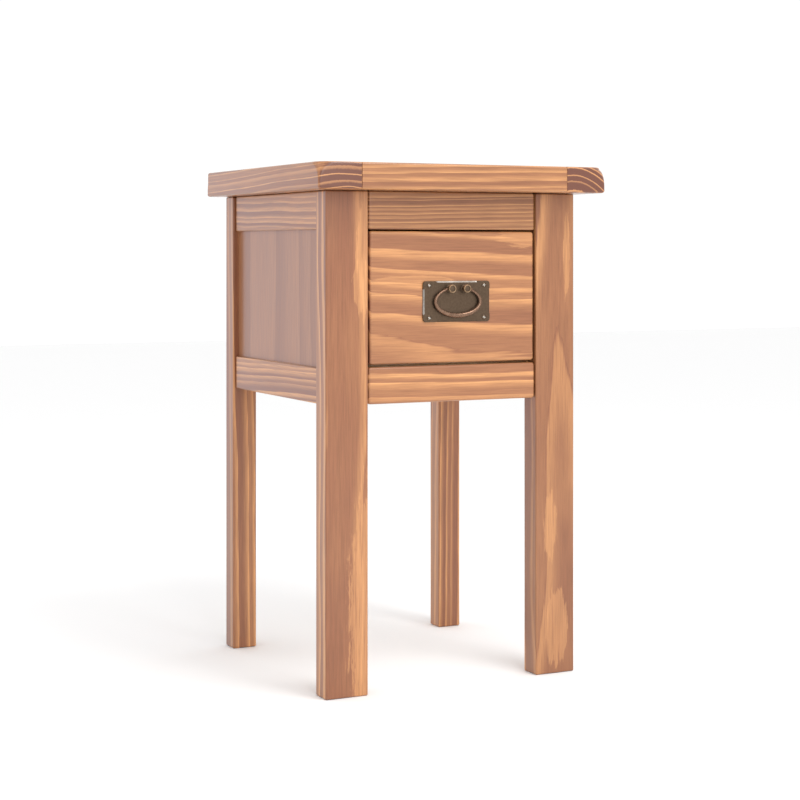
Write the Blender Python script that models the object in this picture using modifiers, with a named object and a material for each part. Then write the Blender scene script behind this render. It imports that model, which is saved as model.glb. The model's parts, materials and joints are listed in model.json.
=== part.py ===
"""Side table with one drawer, in solid pine with a pressed brass bail pull.

Metres, +Z up.  The origin is on the floor under the middle of the top.  The front of the table,
with its drawer, faces -Y, and the drawer slides out along -Y.
"""

from math import cos, pi, radians, sin, sqrt

import bmesh
import bpy
from mathutils import Matrix, Vector

# Overall sizes
HEIGHT = 0.650
TOP_WIDTH = 0.400
FRAME_DEPTH = 0.342
FRONT_OVERHANG = 0.036
BACK_OVERHANG = 0.007
SIDE_OVERHANG = 0.025

# Top: boards between two cross-grain ends
TOP_THICKNESS = 0.033
TOP_ROUND_OVER = 0.003
TOP_CORNER_LOW = 0.003      # plan radius of the corners at the underside
TOP_CORNER_HIGH = 0.020     # plan radius of the corners at the upper face
TOP_CORNER_REAR = 0.005     # most plan radius of the two rear corners
TOP_CORNER_BALL = 0.85      # how far round a ball the corners are dubbed off, 1 is a quarter round
TOP_BOARDS = ("top_board_front", "top_board_middle", "top_board_rear")
TOP_END_WIDTH = 0.057
TOP_TONGUE = 0.012
TOP_TONGUE_THICKNESS = 0.011
TOP_GROOVE_STOP = 0.030     # solid wood left at each end of the groove

# Legs
FRONT_LEG_WIDTH = 0.0565
FRONT_LEG_DEPTH = 0.031
REAR_LEG_WIDTH = 0.034
REAR_LEG_DEPTH = 0.028
LEG_ROUND_OVER = 0.002

# Rails and panels
UPPER_RAIL_HEIGHT = 0.0475
PANEL_OPENING_HEIGHT = 0.170
LOWER_RAIL_HEIGHT = 0.0440
SIDE_RAIL_THICKNESS = 0.022
SIDE_RAIL_RECESS = 0.003
RAIL_ROUND_OVER = 0.002
SIDE_PANEL_THICKNESS = 0.006
SIDE_PANEL_RECESS = 0.008
BACK_RAIL_THICKNESS = 0.018
BACK_RAIL_RECESS = 0.003
BACK_PANEL_THICKNESS = 0.005
PANEL_GROOVE = 0.007
TENON_THICKNESS = 0.010
TENON_SHOULDER = 0.009
TENON_LENGTH = 0.018
BACK_TENON_LENGTH = 0.009

# Drawer opening
FRONT_RAIL_RECESS = 0.0015
FRONT_UPPER_RAIL_THICKNESS = 0.020
FRONT_LOWER_RAIL_THICKNESS = 0.018
FRONT_LOWER_RAIL_HEIGHT = 0.0455
DRAWER_OPENING_HEIGHT = 0.169
FRONT_ROUND_OVER = 0.0035
BEARER_DEPTH = 0.025
BEARER_THICKNESS = 0.018
BEARER_RISE = 0.001         # bearer stands this much above the lower front rail

# Drawer runners, kickers, stops and top cleats
RUNNER_THICKNESS = 0.015
RUNNER_LEDGE = 0.014        # how far a runner reaches in under the drawer side
GUIDE_HEIGHT = 0.020
KICKER_WIDTH = 0.020
KICKER_THICKNESS = 0.015
STUB_LENGTH = 0.006
STUB_THICKNESS = 0.007
CLEAT_WIDTH = 0.030
CLEAT_THICKNESS = 0.020
STOP_DEPTH = 0.020
STOP_HEIGHT = 0.018

# Drawer box
DRAWER_SIDE_GAP = 0.0025
DRAWER_TOP_GAP = 0.002
DRAWER_BOTTOM_GAP = 0.003
DRAWER_FRONT_THICKNESS = 0.020
DRAWER_DEPTH = 0.288
DRAWER_BOARD = 0.012
DRAWER_BOX_GAP = 0.002      # between a drawer side and the opening, each side
DRAWER_TOP_CLEARANCE = 0.003
DRAWER_BOTTOM_THICKNESS = 0.004
DRAWER_BOTTOM_RISE = 0.008
DRAWER_GROOVE = 0.006
DRAWER_HOUSING = 0.004
DRAWER_BACK_INSET = 0.006   # side left standing behind the back
DOWEL_RADIUS = 0.003
DOWEL_LENGTH = 0.030
DOWEL_IN_FRONT = 0.012

# Pull
PULL_OFFSET = 0.0033        # to the right of the drawer front's middle
PULL_DROP = 0.0055          # below the drawer front's middle
PLATE_WIDTH = 0.094
PLATE_HEIGHT = 0.051
PLATE_THICKNESS = 0.002
PLATE_CORNER = 0.004
PLATE_SCREW_INSET_X = 0.0083
PLATE_SCREW_INSET_Z = 0.0052
PLATE_SCREW_SHOULDER = (0.6, 0.85)  # of the head's radius and height, where the dome turns down
PLATE_SCREW_RIM = 0.3       # of the head's height, where the dome meets its edge
POST_SPACING = 0.021
POST_RISE = 0.016           # above the plate's middle
POST_NECK_RADIUS = 0.0036
POST_HEAD_RADIUS = 0.0052
POST_HEAD_THICKNESS = 0.0042
POST_HEAD_DISH = 0.0008
POST_DISH_SHARE = 0.72      # of the head's radius, the flat of the dish
POST_STEM_RADIUS = 0.002
POST_STEM_PROUD = 0.006     # stem left showing behind the drawer front
BAIL_HALF_WIDTH = 0.0315
BAIL_HALF_HEIGHT = 0.0174
BAIL_CENTRE_DROP = 0.016
BAIL_THICK_RADIUS = 0.0029
BAIL_THIN_RADIUS = 0.0016
BAIL_PIN_RADIUS = 0.0014
BAIL_COLLAR_RADIUS = 0.0025
BAIL_COLLAR_REACH = 0.0078  # collar from the post's axis
BAIL_COLLAR_HALF = (0.0007, 0.0012)             # half width of the bead, and of its foot
BAIL_ARM_RISES = (0.25, 0.15, 0.08, 0.04)       # of the loop's last drop, along the collar
BAIL_TAPER = 1.5            # power that thins the bar towards its ends
BAIL_SPREAD = radians(137)  # how far each arm of the loop goes round from its lowest point
NUT_RADIUS = 0.004
NUT_THICKNESS = 0.0032
WASHER_RADIUS = 0.005
WASHER_THICKNESS = 0.001

# Screws: thread radius and head radius
TOP_SCREW_LENGTH = 0.038
TOP_SCREW_END = 0.030        # from each end of a cleat
CLEAT_SCREW_LENGTH = 0.044
BEARER_SCREW_LENGTH = 0.034
SCREW_RADIUS = 0.002
SCREW_HEAD_RADIUS = 0.004
SCREW_HEAD_DEPTH = 0.0022
SMALL_SCREW_RADIUS = 0.0015
SMALL_SCREW_HEAD_RADIUS = 0.003
SMALL_SCREW_HEAD_DEPTH = 0.0016
PLATE_SCREW_LENGTH = 0.012

# Clearances
TOUCH = 0.0003              # left between pieces that meet
PIN_CLEARANCE = 0.0003      # bail pin in its post, on the radius
OVERCUT = 0.002             # how far a cutter runs out past the face it opens

# Finishes: colour, roughness, metallic
PINE = ((0.52, 0.26, 0.11), 0.38, 0.0)
PINE_LIGHT = ((0.66, 0.42, 0.22), 0.50, 0.0)
PLYWOOD = ((0.62, 0.44, 0.27), 0.60, 0.0)
BRASS = ((0.17, 0.12, 0.075), 0.36, 0.85)
STEEL = ((0.55, 0.55, 0.56), 0.35, 1.0)

# Places worked out from the sizes
TOP_DEPTH = FRAME_DEPTH + FRONT_OVERHANG + BACK_OVERHANG
FRAME_FRONT = -TOP_DEPTH / 2 + FRONT_OVERHANG
FRAME_BACK = TOP_DEPTH / 2 - BACK_OVERHANG
FRAME_HALF = TOP_WIDTH / 2 - SIDE_OVERHANG
TOP_UNDERSIDE = HEIGHT - TOP_THICKNESS
LEG_TOP = TOP_UNDERSIDE - TOUCH
UPPER_RAIL_LOW = TOP_UNDERSIDE - UPPER_RAIL_HEIGHT
LOWER_RAIL_HIGH = UPPER_RAIL_LOW - PANEL_OPENING_HEIGHT
LOWER_RAIL_LOW = LOWER_RAIL_HIGH - LOWER_RAIL_HEIGHT
FRONT_LEG_BACK = FRAME_FRONT + FRONT_LEG_DEPTH
REAR_LEG_FRONT = FRAME_BACK - REAR_LEG_DEPTH
SIDE_RAIL_OUT = FRAME_HALF - SIDE_RAIL_RECESS
SIDE_RAIL_IN = SIDE_RAIL_OUT - SIDE_RAIL_THICKNESS
SIDE_RAIL_MIDDLE = (SIDE_RAIL_OUT + SIDE_RAIL_IN) / 2
OPENING_HALF = FRAME_HALF - FRONT_LEG_WIDTH
REAR_OPENING_HALF = FRAME_HALF - REAR_LEG_WIDTH
OPENING_FACE = FRAME_FRONT + FRONT_RAIL_RECESS
FRONT_UPPER_BACK = OPENING_FACE + FRONT_UPPER_RAIL_THICKNESS
FRONT_LOWER_BACK = OPENING_FACE + FRONT_LOWER_RAIL_THICKNESS
FRONT_LOWER_HIGH = UPPER_RAIL_LOW - DRAWER_OPENING_HEIGHT
FRONT_LOWER_LOW = FRONT_LOWER_HIGH - FRONT_LOWER_RAIL_HEIGHT
BACK_RAIL_OUT = FRAME_BACK - BACK_RAIL_RECESS
BACK_RAIL_IN = BACK_RAIL_OUT - BACK_RAIL_THICKNESS
BACK_RAIL_MIDDLE = (BACK_RAIL_OUT + BACK_RAIL_IN) / 2
BEARER_FRONT = FRONT_LOWER_BACK + TOUCH
BEARER_BACK = BEARER_FRONT + BEARER_DEPTH
BEARER_HIGH = FRONT_LOWER_HIGH + BEARER_RISE
RUN_LEVEL = BEARER_HIGH
DRAWER_HALF = OPENING_HALF - DRAWER_BOX_GAP
DRAWER_INNER_HALF = DRAWER_HALF - DRAWER_BOARD
DRAWER_FRONT_BACK = OPENING_FACE + DRAWER_FRONT_THICKNESS
DRAWER_BACK = OPENING_FACE + DRAWER_DEPTH
DRAWER_LOW = RUN_LEVEL + TOUCH
DRAWER_HIGH = UPPER_RAIL_LOW - DRAWER_TOP_CLEARANCE
DRAWER_FRONT_LOW = FRONT_LOWER_HIGH + DRAWER_BOTTOM_GAP
DRAWER_FRONT_HIGH = UPPER_RAIL_LOW - DRAWER_TOP_GAP
DRAWER_BOTTOM_LOW = DRAWER_LOW + DRAWER_BOTTOM_RISE
DRAWER_BOTTOM_HIGH = DRAWER_BOTTOM_LOW + DRAWER_BOTTOM_THICKNESS
RUNNER_IN = DRAWER_HALF - RUNNER_LEDGE
PULL_X = PULL_OFFSET
PULL_Z = (DRAWER_FRONT_LOW + DRAWER_FRONT_HIGH) / 2 - PULL_DROP
PLATE_BACK = OPENING_FACE - TOUCH
PLATE_FRONT = PLATE_BACK - PLATE_THICKNESS
PIN_Z = PULL_Z + POST_RISE
PIN_HEIGHT = BAIL_THICK_RADIUS + 2 * TOUCH
PIN_Y = PLATE_FRONT - PIN_HEIGHT

SIDES = {"left": -1, "right": 1}


# Scene, finishes and collections

def clear_scene():
    for item in list(bpy.data.objects):
        bpy.data.objects.remove(item, do_unlink=True)


def new_collection(name):
    collection = bpy.data.collections.new(name)
    bpy.context.scene.collection.children.link(collection)
    return collection


def finish_material(name, finish):
    colour, roughness, metallic = finish
    material = bpy.data.materials.new(name)
    material.use_nodes = True
    shader = material.node_tree.nodes["Principled BSDF"]
    shader.inputs["Base Color"].default_value = (*colour, 1.0)
    shader.inputs["Roughness"].default_value = roughness
    shader.inputs["Metallic"].default_value = metallic
    return material


def add_empty(name, place):
    empty = bpy.data.objects.new(name, None)
    empty.location = place
    PARTS.objects.link(empty)
    return empty


def add_part(name, data, place, finish, parent):
    """An object for one sub-part; place is where its origin goes in the world."""
    part = bpy.data.objects.new(name, data)
    part.parent = parent
    part.location = Vector(place) - parent.location
    data.materials.append(finish_material(name, finish))
    PARTS.objects.link(part)
    return part


def add_tool(name, mesh):
    tool = bpy.data.objects.new(name, mesh)
    tool.hide_render = True
    tool.display_type = "WIRE"
    TOOLS.objects.link(tool)
    return tool


# Shapes

def box_mesh(name, boxes, origin=(0, 0, 0)):
    """One mesh of separate boxes, each given by its low and high corner in the world."""
    shape = bmesh.new()
    for low, high in boxes:
        size = Vector(high) - Vector(low)
        middle = (Vector(high) + Vector(low)) / 2 - Vector(origin)
        matrix = Matrix.Translation(middle) @ Matrix.Diagonal((*size, 1))
        bmesh.ops.create_cube(shape, size=1, matrix=matrix)
    mesh = bpy.data.meshes.new(name)
    shape.to_mesh(mesh)
    shape.free()
    return mesh


def rod_mesh(name, rods, steps=16, origin=(0, 0, 0)):
    """One mesh of separate cylinders, each given by its start, end and radius in the world."""
    shape = bmesh.new()
    for start, end, radius in rods:
        run = Vector(end) - Vector(start)
        turn = Vector((0, 0, 1)).rotation_difference(run).to_matrix().to_4x4()
        middle = (Vector(start) + Vector(end)) / 2 - Vector(origin)
        bmesh.ops.create_cone(shape, cap_ends=True, segments=steps, radius1=radius, radius2=radius,
                              depth=run.length, matrix=Matrix.Translation(middle) @ turn)
    mesh = bpy.data.meshes.new(name)
    shape.to_mesh(mesh)
    shape.free()
    return mesh


def board(name, low, high, round_over, finish, parent, segments=3):
    """A straight board with all its edges rounded over."""
    middle = (Vector(low) + Vector(high)) / 2
    part = add_part(name, box_mesh(name, [(low, high)], middle), middle, finish, parent)
    if round_over:
        bevel = part.modifiers.new("round_over", "BEVEL")
        bevel.width = round_over
        bevel.segments = segments
        bevel.limit_method = "NONE"
    return part


def combine(part, operation, mesh):
    """Add a mesh to a part, or cut it away, with a live Boolean."""
    count = len(part.modifiers)
    boolean = part.modifiers.new(f"{operation.lower()}_{count}", "BOOLEAN")
    boolean.operation = operation
    boolean.solver = "EXACT"
    boolean.object = add_tool(f"{part.name}_tool_{count}", mesh)


def add_boxes(part, boxes):
    combine(part, "UNION", box_mesh(part.name + "_tenons", boxes))


def cut_boxes(part, boxes):
    combine(part, "DIFFERENCE", box_mesh(part.name + "_mortises", boxes))


def cut_rods(part, rods):
    combine(part, "DIFFERENCE", rod_mesh(part.name + "_holes", rods))


def grown(box, gap=TOUCH):
    """A box made larger all round, as the mortise is for its tenon."""
    low, high = box
    return [value - gap for value in low], [value + gap for value in high]


def turned_object(name, profile, steps):
    """A profile (radius, height) that runs down its outer side, turned about Z."""
    mesh = bpy.data.meshes.new(name)
    points = [(radius, 0, height) for radius, height in profile]
    mesh.from_pydata(points, [(i, i + 1) for i in range(len(points) - 1)], [])
    turned = bpy.data.objects.new(name, mesh)
    screw = turned.modifiers.new("turn", "SCREW")
    screw.steps = steps
    screw.render_steps = steps
    screw.use_merge_vertices = True
    screw.merge_threshold = 0.00001
    screw.use_smooth_shade = True
    return turned


def evaluated_mesh(item):
    """The item's mesh with its modifiers applied; the item itself is removed."""
    TOOLS.objects.link(item)
    graph = bpy.context.evaluated_depsgraph_get()
    graph.update()
    mesh = bpy.data.meshes.new_from_object(item.evaluated_get(graph))
    bpy.data.objects.remove(item, do_unlink=True)
    return mesh


def turned_part(name, profile, steps, point, direction, finish, parent):
    """A turned piece whose own +Z points along a direction."""
    part = turned_object(name, profile, steps)
    part.data.materials.append(finish_material(name, finish))
    part.parent = parent
    part.location = Vector(point) - parent.location
    part.rotation_euler = Vector((0, 0, 1)).rotation_difference(Vector(direction)).to_euler()
    PARTS.objects.link(part)
    return part


def wood_screws(name, length, places):
    """Countersunk steel screws, one object each."""
    profile = screw_profile(SCREW_RADIUS, length, SCREW_HEAD_RADIUS, SCREW_HEAD_DEPTH)
    for count, (point, direction) in enumerate(places, 1):
        turned_part(f"{name}_{count}", profile, 12, point, direction, STEEL, FRAME)


def screw_profile(radius, length, head_radius, head_depth):
    """A countersunk wood screw, head face up at zero height and point at minus its length."""
    return [(0, 0), (head_radius, 0), (radius, -head_depth), (radius, -length + 2 * radius),
            (0, -length)]


def screw_rods(places, radius, length):
    """Clearance for the shanks of screws, each from its head into the wood."""
    rods = []
    for point, direction in places:
        inward = -Vector(direction).normalized()
        start = Vector(point) - inward * OVERCUT
        rods.append((start, Vector(point) + inward * (length + TOUCH), radius + TOUCH))
    return rods


def head_rods(places, head_radius, head_depth):
    """Counterbores that the screw heads sit in."""
    rods = []
    for point, direction in places:
        inward = -Vector(direction).normalized()
        start = Vector(point) - inward * OVERCUT
        rods.append((start, Vector(point) + inward * (head_depth + TOUCH), head_radius + TOUCH))
    return rods


# Top

def top_end_ring(inner, outer, radius, inset, height):
    """Plan outline of a cross-grain end at one height: straight joint, two rounded corners."""
    half = TOP_DEPTH / 2 - inset
    edge = outer - inset
    rear = max(min(radius, TOP_CORNER_REAR) - inset, TOP_ROUND_OVER)
    radius = max(radius - inset, TOP_ROUND_OVER)
    steps = 7
    ring = [(inner, -half, height)]
    for step in range(steps + 1):
        angle = -pi / 2 + pi / 2 * step / steps
        ring.append((edge - radius + radius * cos(angle), -half + radius + radius * sin(angle), height))
    for step in range(steps + 1):
        angle = pi / 2 * step / steps
        ring.append((edge - rear + rear * cos(angle), half - rear + rear * sin(angle), height))
    ring.append((inner, half, height))
    return ring


def top_end_levels():
    """Height, corner radius and edge inset of each ring, from the underside up."""
    levels = []
    steps = 3
    for step in range(steps + 1):
        angle = pi / 2 * step / steps
        levels.append((TOP_UNDERSIDE + TOP_ROUND_OVER * (1 - cos(angle)), TOP_CORNER_LOW,
                       TOP_ROUND_OVER * (1 - sin(angle))))
    dubbed = TOP_THICKNESS - 2 * TOP_ROUND_OVER
    rises = 6
    for step in range(1, rises + 1):
        share = step / rises
        growth = (1 - sqrt(1 - TOP_CORNER_BALL * share ** 3)) / (1 - sqrt(1 - TOP_CORNER_BALL))
        levels.append((TOP_UNDERSIDE + TOP_ROUND_OVER + dubbed * share,
                       TOP_CORNER_LOW + (TOP_CORNER_HIGH - TOP_CORNER_LOW) * growth, 0))
    for step in range(1, steps + 1):
        angle = pi / 2 * step / steps
        levels.append((HEIGHT - TOP_ROUND_OVER * (1 - sin(angle)), TOP_CORNER_HIGH,
                       TOP_ROUND_OVER * (1 - cos(angle))))
    return levels


def make_top_end(name, side):
    """Cross-grain end with the corners rounded off, grooved for the boards' tongues."""
    inner = TOP_WIDTH / 2 - TOP_END_WIDTH + TOUCH
    shape = bmesh.new()
    rings = []
    for height, radius, inset in top_end_levels():
        ring = top_end_ring(inner, TOP_WIDTH / 2, radius, inset, height)
        rings.append([shape.verts.new((side * x, y, z)) for x, y, z in ring])
    for below, above in zip(rings, rings[1:]):
        for i in range(len(below)):
            j = (i + 1) % len(below)
            shape.faces.new((below[i], below[j], above[j], above[i]))
    shape.faces.new(list(reversed(rings[0])))
    shape.faces.new(rings[-1])
    bmesh.ops.recalc_face_normals(shape, faces=shape.faces)
    mesh = bpy.data.meshes.new(name)
    shape.to_mesh(mesh)
    shape.free()
    part = add_part(name, mesh, (0, 0, 0), PINE, FRAME)
    low_y = -TOP_DEPTH / 2 + TOP_GROOVE_STOP
    low_z, high_z = tongue_heights()
    start = side * (inner - OVERCUT)
    end = side * (TOP_WIDTH / 2 - TOP_END_WIDTH + TOP_TONGUE + TOUCH)
    cut_boxes(part, [((min(start, end), low_y - TOUCH, low_z - TOUCH),
                      (max(start, end), -low_y + TOUCH, high_z + TOUCH))])


def tongue_heights():
    middle = TOP_UNDERSIDE + TOP_THICKNESS / 2
    return middle - TOP_TONGUE_THICKNESS / 2, middle + TOP_TONGUE_THICKNESS / 2


def top_board_edges():
    """Where the three long boards start and end, front to back."""
    half = TOP_DEPTH / 2
    width = TOP_DEPTH / len(TOP_BOARDS)
    edges = []
    for i in range(len(TOP_BOARDS)):
        low = -half + i * width + (TOUCH / 2 if i else 0)
        high = -half + (i + 1) * width - (TOUCH / 2 if i < len(TOP_BOARDS) - 1 else 0)
        edges.append((low, high))
    return edges


def make_top_board(name, low_y, high_y, screws):
    """Long-grain board with a tongue at each end; only outer long edges are rounded over."""
    reach = TOP_WIDTH / 2 - TOP_END_WIDTH
    middle = Vector((0, (low_y + high_y) / 2, (TOP_UNDERSIDE + HEIGHT) / 2))
    low = (-reach, low_y, TOP_UNDERSIDE)
    high = (reach, high_y, HEIGHT)
    shape = bmesh.new()
    shape.from_mesh(box_mesh(name, [(low, high)], middle))
    outer = [edge for edge in shape.edges if on_outer_edge(edge, middle.y)]
    if outer:
        bmesh.ops.bevel(shape, geom=outer, offset=TOP_ROUND_OVER, segments=3, profile=0.5,
                        affect="EDGES")
    mesh = bpy.data.meshes.new(name)
    shape.to_mesh(mesh)
    shape.free()
    part = add_part(name, mesh, middle, PINE, FRAME)
    stop = TOP_DEPTH / 2 - TOP_GROOVE_STOP
    low_z, high_z = tongue_heights()
    tongues = []
    for side in SIDES.values():
        near = side * (reach - TOP_TONGUE)
        far = side * (reach + TOP_TONGUE)
        tongues.append(((min(near, far), max(low_y + OVERCUT, -stop), low_z),
                        (max(near, far), min(high_y - OVERCUT, stop), high_z)))
    add_boxes(part, tongues)
    if screws:
        cut_rods(part, screw_rods(screws, SCREW_RADIUS, TOP_SCREW_LENGTH))


def on_outer_edge(edge, offset):
    """True for a long edge on the front or back of the whole top."""
    along_x = abs(edge.verts[0].co.x - edge.verts[1].co.x) > TOP_END_WIDTH
    place = abs(edge.verts[0].co.y + offset)
    return along_x and abs(place - TOP_DEPTH / 2) < TOUCH / 2


def top_screw_places():
    """Screws up through each cleat into the outer boards, heads under the cleats."""
    places = []
    x = SIDE_RAIL_IN - TOUCH - CLEAT_WIDTH + SCREW_HEAD_RADIUS * 2
    z = TOP_UNDERSIDE - TOUCH - CLEAT_THICKNESS
    for side in SIDES.values():
        for y in (FRONT_LEG_BACK + TOP_SCREW_END, REAR_LEG_FRONT - TOP_SCREW_END):
            places.append(((side * x, y, z), (0, 0, -1)))
    return places


def make_top():
    for side_name, side in SIDES.items():
        make_top_end(f"top_end_{side_name}", side)
    screws = top_screw_places()
    for name, (low_y, high_y) in zip(TOP_BOARDS, top_board_edges()):
        held = [place for place in screws if low_y < place[0][1] < high_y]
        make_top_board(name, low_y, high_y, held)


# Legs, rails and panels

def tenon_heights(low_z, high_z):
    return low_z + TENON_SHOULDER, high_z - TENON_SHOULDER


def rail_levels():
    return {"upper": (UPPER_RAIL_LOW, LEG_TOP), "lower": (LOWER_RAIL_LOW, LOWER_RAIL_HIGH)}


def side_tenon(side, level, at_front, overlap):
    """Tenon of a side rail; overlap is how far it runs back into its own rail."""
    low_z, high_z = tenon_heights(*rail_levels()[level])
    xs = sorted((side * (SIDE_RAIL_MIDDLE - TENON_THICKNESS / 2),
                 side * (SIDE_RAIL_MIDDLE + TENON_THICKNESS / 2)))
    if at_front:
        ys = (FRONT_LEG_BACK - TENON_LENGTH, FRONT_LEG_BACK + overlap)
    else:
        ys = (REAR_LEG_FRONT - overlap, REAR_LEG_FRONT + TENON_LENGTH)
    return (xs[0], ys[0], low_z), (xs[1], ys[1], high_z)


def cross_tenon(side, half, middle_y, length, low_z, high_z, overlap):
    """Tenon of a front or back rail, which runs sideways into a leg."""
    low_z, high_z = tenon_heights(low_z, high_z)
    xs = sorted((side * (half - overlap), side * (half + length)))
    ys = (middle_y - TENON_THICKNESS / 2, middle_y + TENON_THICKNESS / 2)
    return (xs[0], ys[0], low_z), (xs[1], ys[1], high_z)


def front_tenon(side, level, overlap):
    if level == "upper":
        middle = (OPENING_FACE + FRONT_UPPER_BACK) / 2
        return cross_tenon(side, OPENING_HALF, middle, TENON_LENGTH, UPPER_RAIL_LOW, LEG_TOP, overlap)
    middle = (OPENING_FACE + FRONT_LOWER_BACK) / 2
    return cross_tenon(side, OPENING_HALF, middle, TENON_LENGTH, FRONT_LOWER_LOW,
                       FRONT_LOWER_HIGH, overlap)


def back_tenon(side, level, overlap):
    low_z, high_z = rail_levels()[level]
    return cross_tenon(side, REAR_OPENING_HALF, BACK_RAIL_MIDDLE, BACK_TENON_LENGTH, low_z, high_z,
                       overlap)


def side_panel_box(side):
    """A side panel, let into the grooves of its rails and legs."""
    outer = FRAME_HALF - SIDE_PANEL_RECESS
    xs = sorted((side * outer, side * (outer - SIDE_PANEL_THICKNESS)))
    return ((xs[0], FRONT_LEG_BACK - PANEL_GROOVE, LOWER_RAIL_HIGH - PANEL_GROOVE),
            (xs[1], REAR_LEG_FRONT + PANEL_GROOVE, UPPER_RAIL_LOW + PANEL_GROOVE))


def back_panel_box():
    half = REAR_OPENING_HALF + PANEL_GROOVE
    ys = (BACK_RAIL_MIDDLE - BACK_PANEL_THICKNESS / 2, BACK_RAIL_MIDDLE + BACK_PANEL_THICKNESS / 2)
    return ((-half, ys[0], LOWER_RAIL_HIGH - PANEL_GROOVE), (half, ys[1], UPPER_RAIL_LOW + PANEL_GROOVE))


def make_legs():
    for side_name, side in SIDES.items():
        xs = sorted((side * OPENING_HALF, side * FRAME_HALF))
        leg = board(f"leg_front_{side_name}", (xs[0], FRAME_FRONT, 0),
                    (xs[1], FRONT_LEG_BACK, LEG_TOP), LEG_ROUND_OVER, PINE, FRAME)
        mortises = [side_tenon(side, level, True, OVERCUT) for level in rail_levels()]
        mortises += [front_tenon(side, level, OVERCUT) for level in rail_levels()]
        cut_boxes(leg, [grown(box) for box in mortises])
        cut_boxes(leg, [grown(side_panel_box(side))])
        xs = sorted((side * REAR_OPENING_HALF, side * FRAME_HALF))
        leg = board(f"leg_rear_{side_name}", (xs[0], REAR_LEG_FRONT, 0),
                    (xs[1], FRAME_BACK, LEG_TOP), LEG_ROUND_OVER, PINE, FRAME)
        mortises = [side_tenon(side, level, False, OVERCUT) for level in rail_levels()]
        mortises += [back_tenon(side, level, OVERCUT) for level in rail_levels()]
        cut_boxes(leg, [grown(box) for box in mortises])
        cut_boxes(leg, [grown(side_panel_box(side))])
        cut_boxes(leg, [grown(back_panel_box())])


def make_side_frames():
    for side_name, side in SIDES.items():
        xs = sorted((side * SIDE_RAIL_IN, side * SIDE_RAIL_OUT))
        for level, (low_z, high_z) in rail_levels().items():
            rail = board(f"side_rail_{level}_{side_name}", (xs[0], FRONT_LEG_BACK + TOUCH, low_z),
                         (xs[1], REAR_LEG_FRONT - TOUCH, high_z), RAIL_ROUND_OVER, PINE, FRAME)
            add_boxes(rail, [side_tenon(side, level, at_front, SIDE_RAIL_THICKNESS)
                             for at_front in (True, False)])
            cut_boxes(rail, [grown(side_panel_box(side))])
            if level == "upper":
                held = [place for place in cleat_screw_places() if place[0][0] * side > 0]
                cut_rods(rail, screw_rods(held, SCREW_RADIUS, CLEAT_SCREW_LENGTH))
        low, high = side_panel_box(side)
        board(f"side_panel_{side_name}", low, high, 0, PINE, FRAME)


def make_front_rails():
    upper = board("front_rail_upper", (-OPENING_HALF + TOUCH, OPENING_FACE, UPPER_RAIL_LOW),
                  (OPENING_HALF - TOUCH, FRONT_UPPER_BACK, LEG_TOP), RAIL_ROUND_OVER, PINE, FRAME)
    add_boxes(upper, [front_tenon(side, "upper", SIDE_RAIL_THICKNESS) for side in SIDES.values()])
    cut_boxes(upper, [grown(kicker_stub(side, True, OVERCUT)) for side in SIDES.values()])
    lower = board("front_rail_lower", (-OPENING_HALF + TOUCH, OPENING_FACE, FRONT_LOWER_LOW),
                  (OPENING_HALF - TOUCH, FRONT_LOWER_BACK, FRONT_LOWER_HIGH), FRONT_ROUND_OVER,
                  PINE, FRAME)
    add_boxes(lower, [front_tenon(side, "lower", SIDE_RAIL_THICKNESS) for side in SIDES.values()])
    cut_rods(lower, screw_rods(bearer_screw_places(), SCREW_RADIUS, BEARER_SCREW_LENGTH))


def make_back():
    for level, (low_z, high_z) in rail_levels().items():
        rail = board(f"back_rail_{level}", (-REAR_OPENING_HALF + TOUCH, BACK_RAIL_IN, low_z),
                     (REAR_OPENING_HALF - TOUCH, BACK_RAIL_OUT, high_z), RAIL_ROUND_OVER, PINE, FRAME,
                     segments=2)
        add_boxes(rail, [back_tenon(side, level, SIDE_RAIL_THICKNESS) for side in SIDES.values()])
        cut_boxes(rail, [grown(back_panel_box())])
        stub = kicker_stub if level == "upper" else runner_stub
        cut_boxes(rail, [grown(stub(side, False, OVERCUT)) for side in SIDES.values()])
    low, high = back_panel_box()
    board("back_panel", low, high, 0, PLYWOOD, FRAME)


# Drawer runners, kickers, stops and cleats

def cleat_screw_places():
    """Two screws from each cleat sideways into the upper side rail."""
    places = []
    z = TOP_UNDERSIDE - TOUCH - CLEAT_THICKNESS / 2
    run = REAR_LEG_FRONT - FRONT_LEG_BACK
    for side in SIDES.values():
        for share in (1 / 3, 2 / 3):
            x = side * (SIDE_RAIL_IN - TOUCH - CLEAT_WIDTH)
            places.append(((x, FRONT_LEG_BACK + run * share, z), (-side, 0, 0)))
    return places


def bearer_screw_places():
    """Two screws from the back of the bearer into the lower front rail."""
    z = BEARER_HIGH - BEARER_THICKNESS / 2
    reach = OPENING_HALF / 2
    return [((x, BEARER_BACK, z), (0, 1, 0)) for x in (-reach, reach)]


def runner_stub(side, at_front, overlap):
    """Stub tenon that lets a runner into the bearer or the lower back rail."""
    return stub_box(side, at_front, overlap, BEARER_BACK, RUN_LEVEL - RUNNER_THICKNESS / 2,
                    RUNNER_IN + STUB_LENGTH, OPENING_HALF - STUB_LENGTH)


def kicker_stub(side, at_front, overlap):
    """Stub tenon that lets a kicker into the upper front or back rail."""
    outer = OPENING_HALF - TOUCH
    return stub_box(side, at_front, overlap, FRONT_UPPER_BACK, UPPER_RAIL_LOW + KICKER_THICKNESS / 2,
                    outer - KICKER_WIDTH + STUB_THICKNESS / 2, outer - STUB_THICKNESS / 2)


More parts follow.
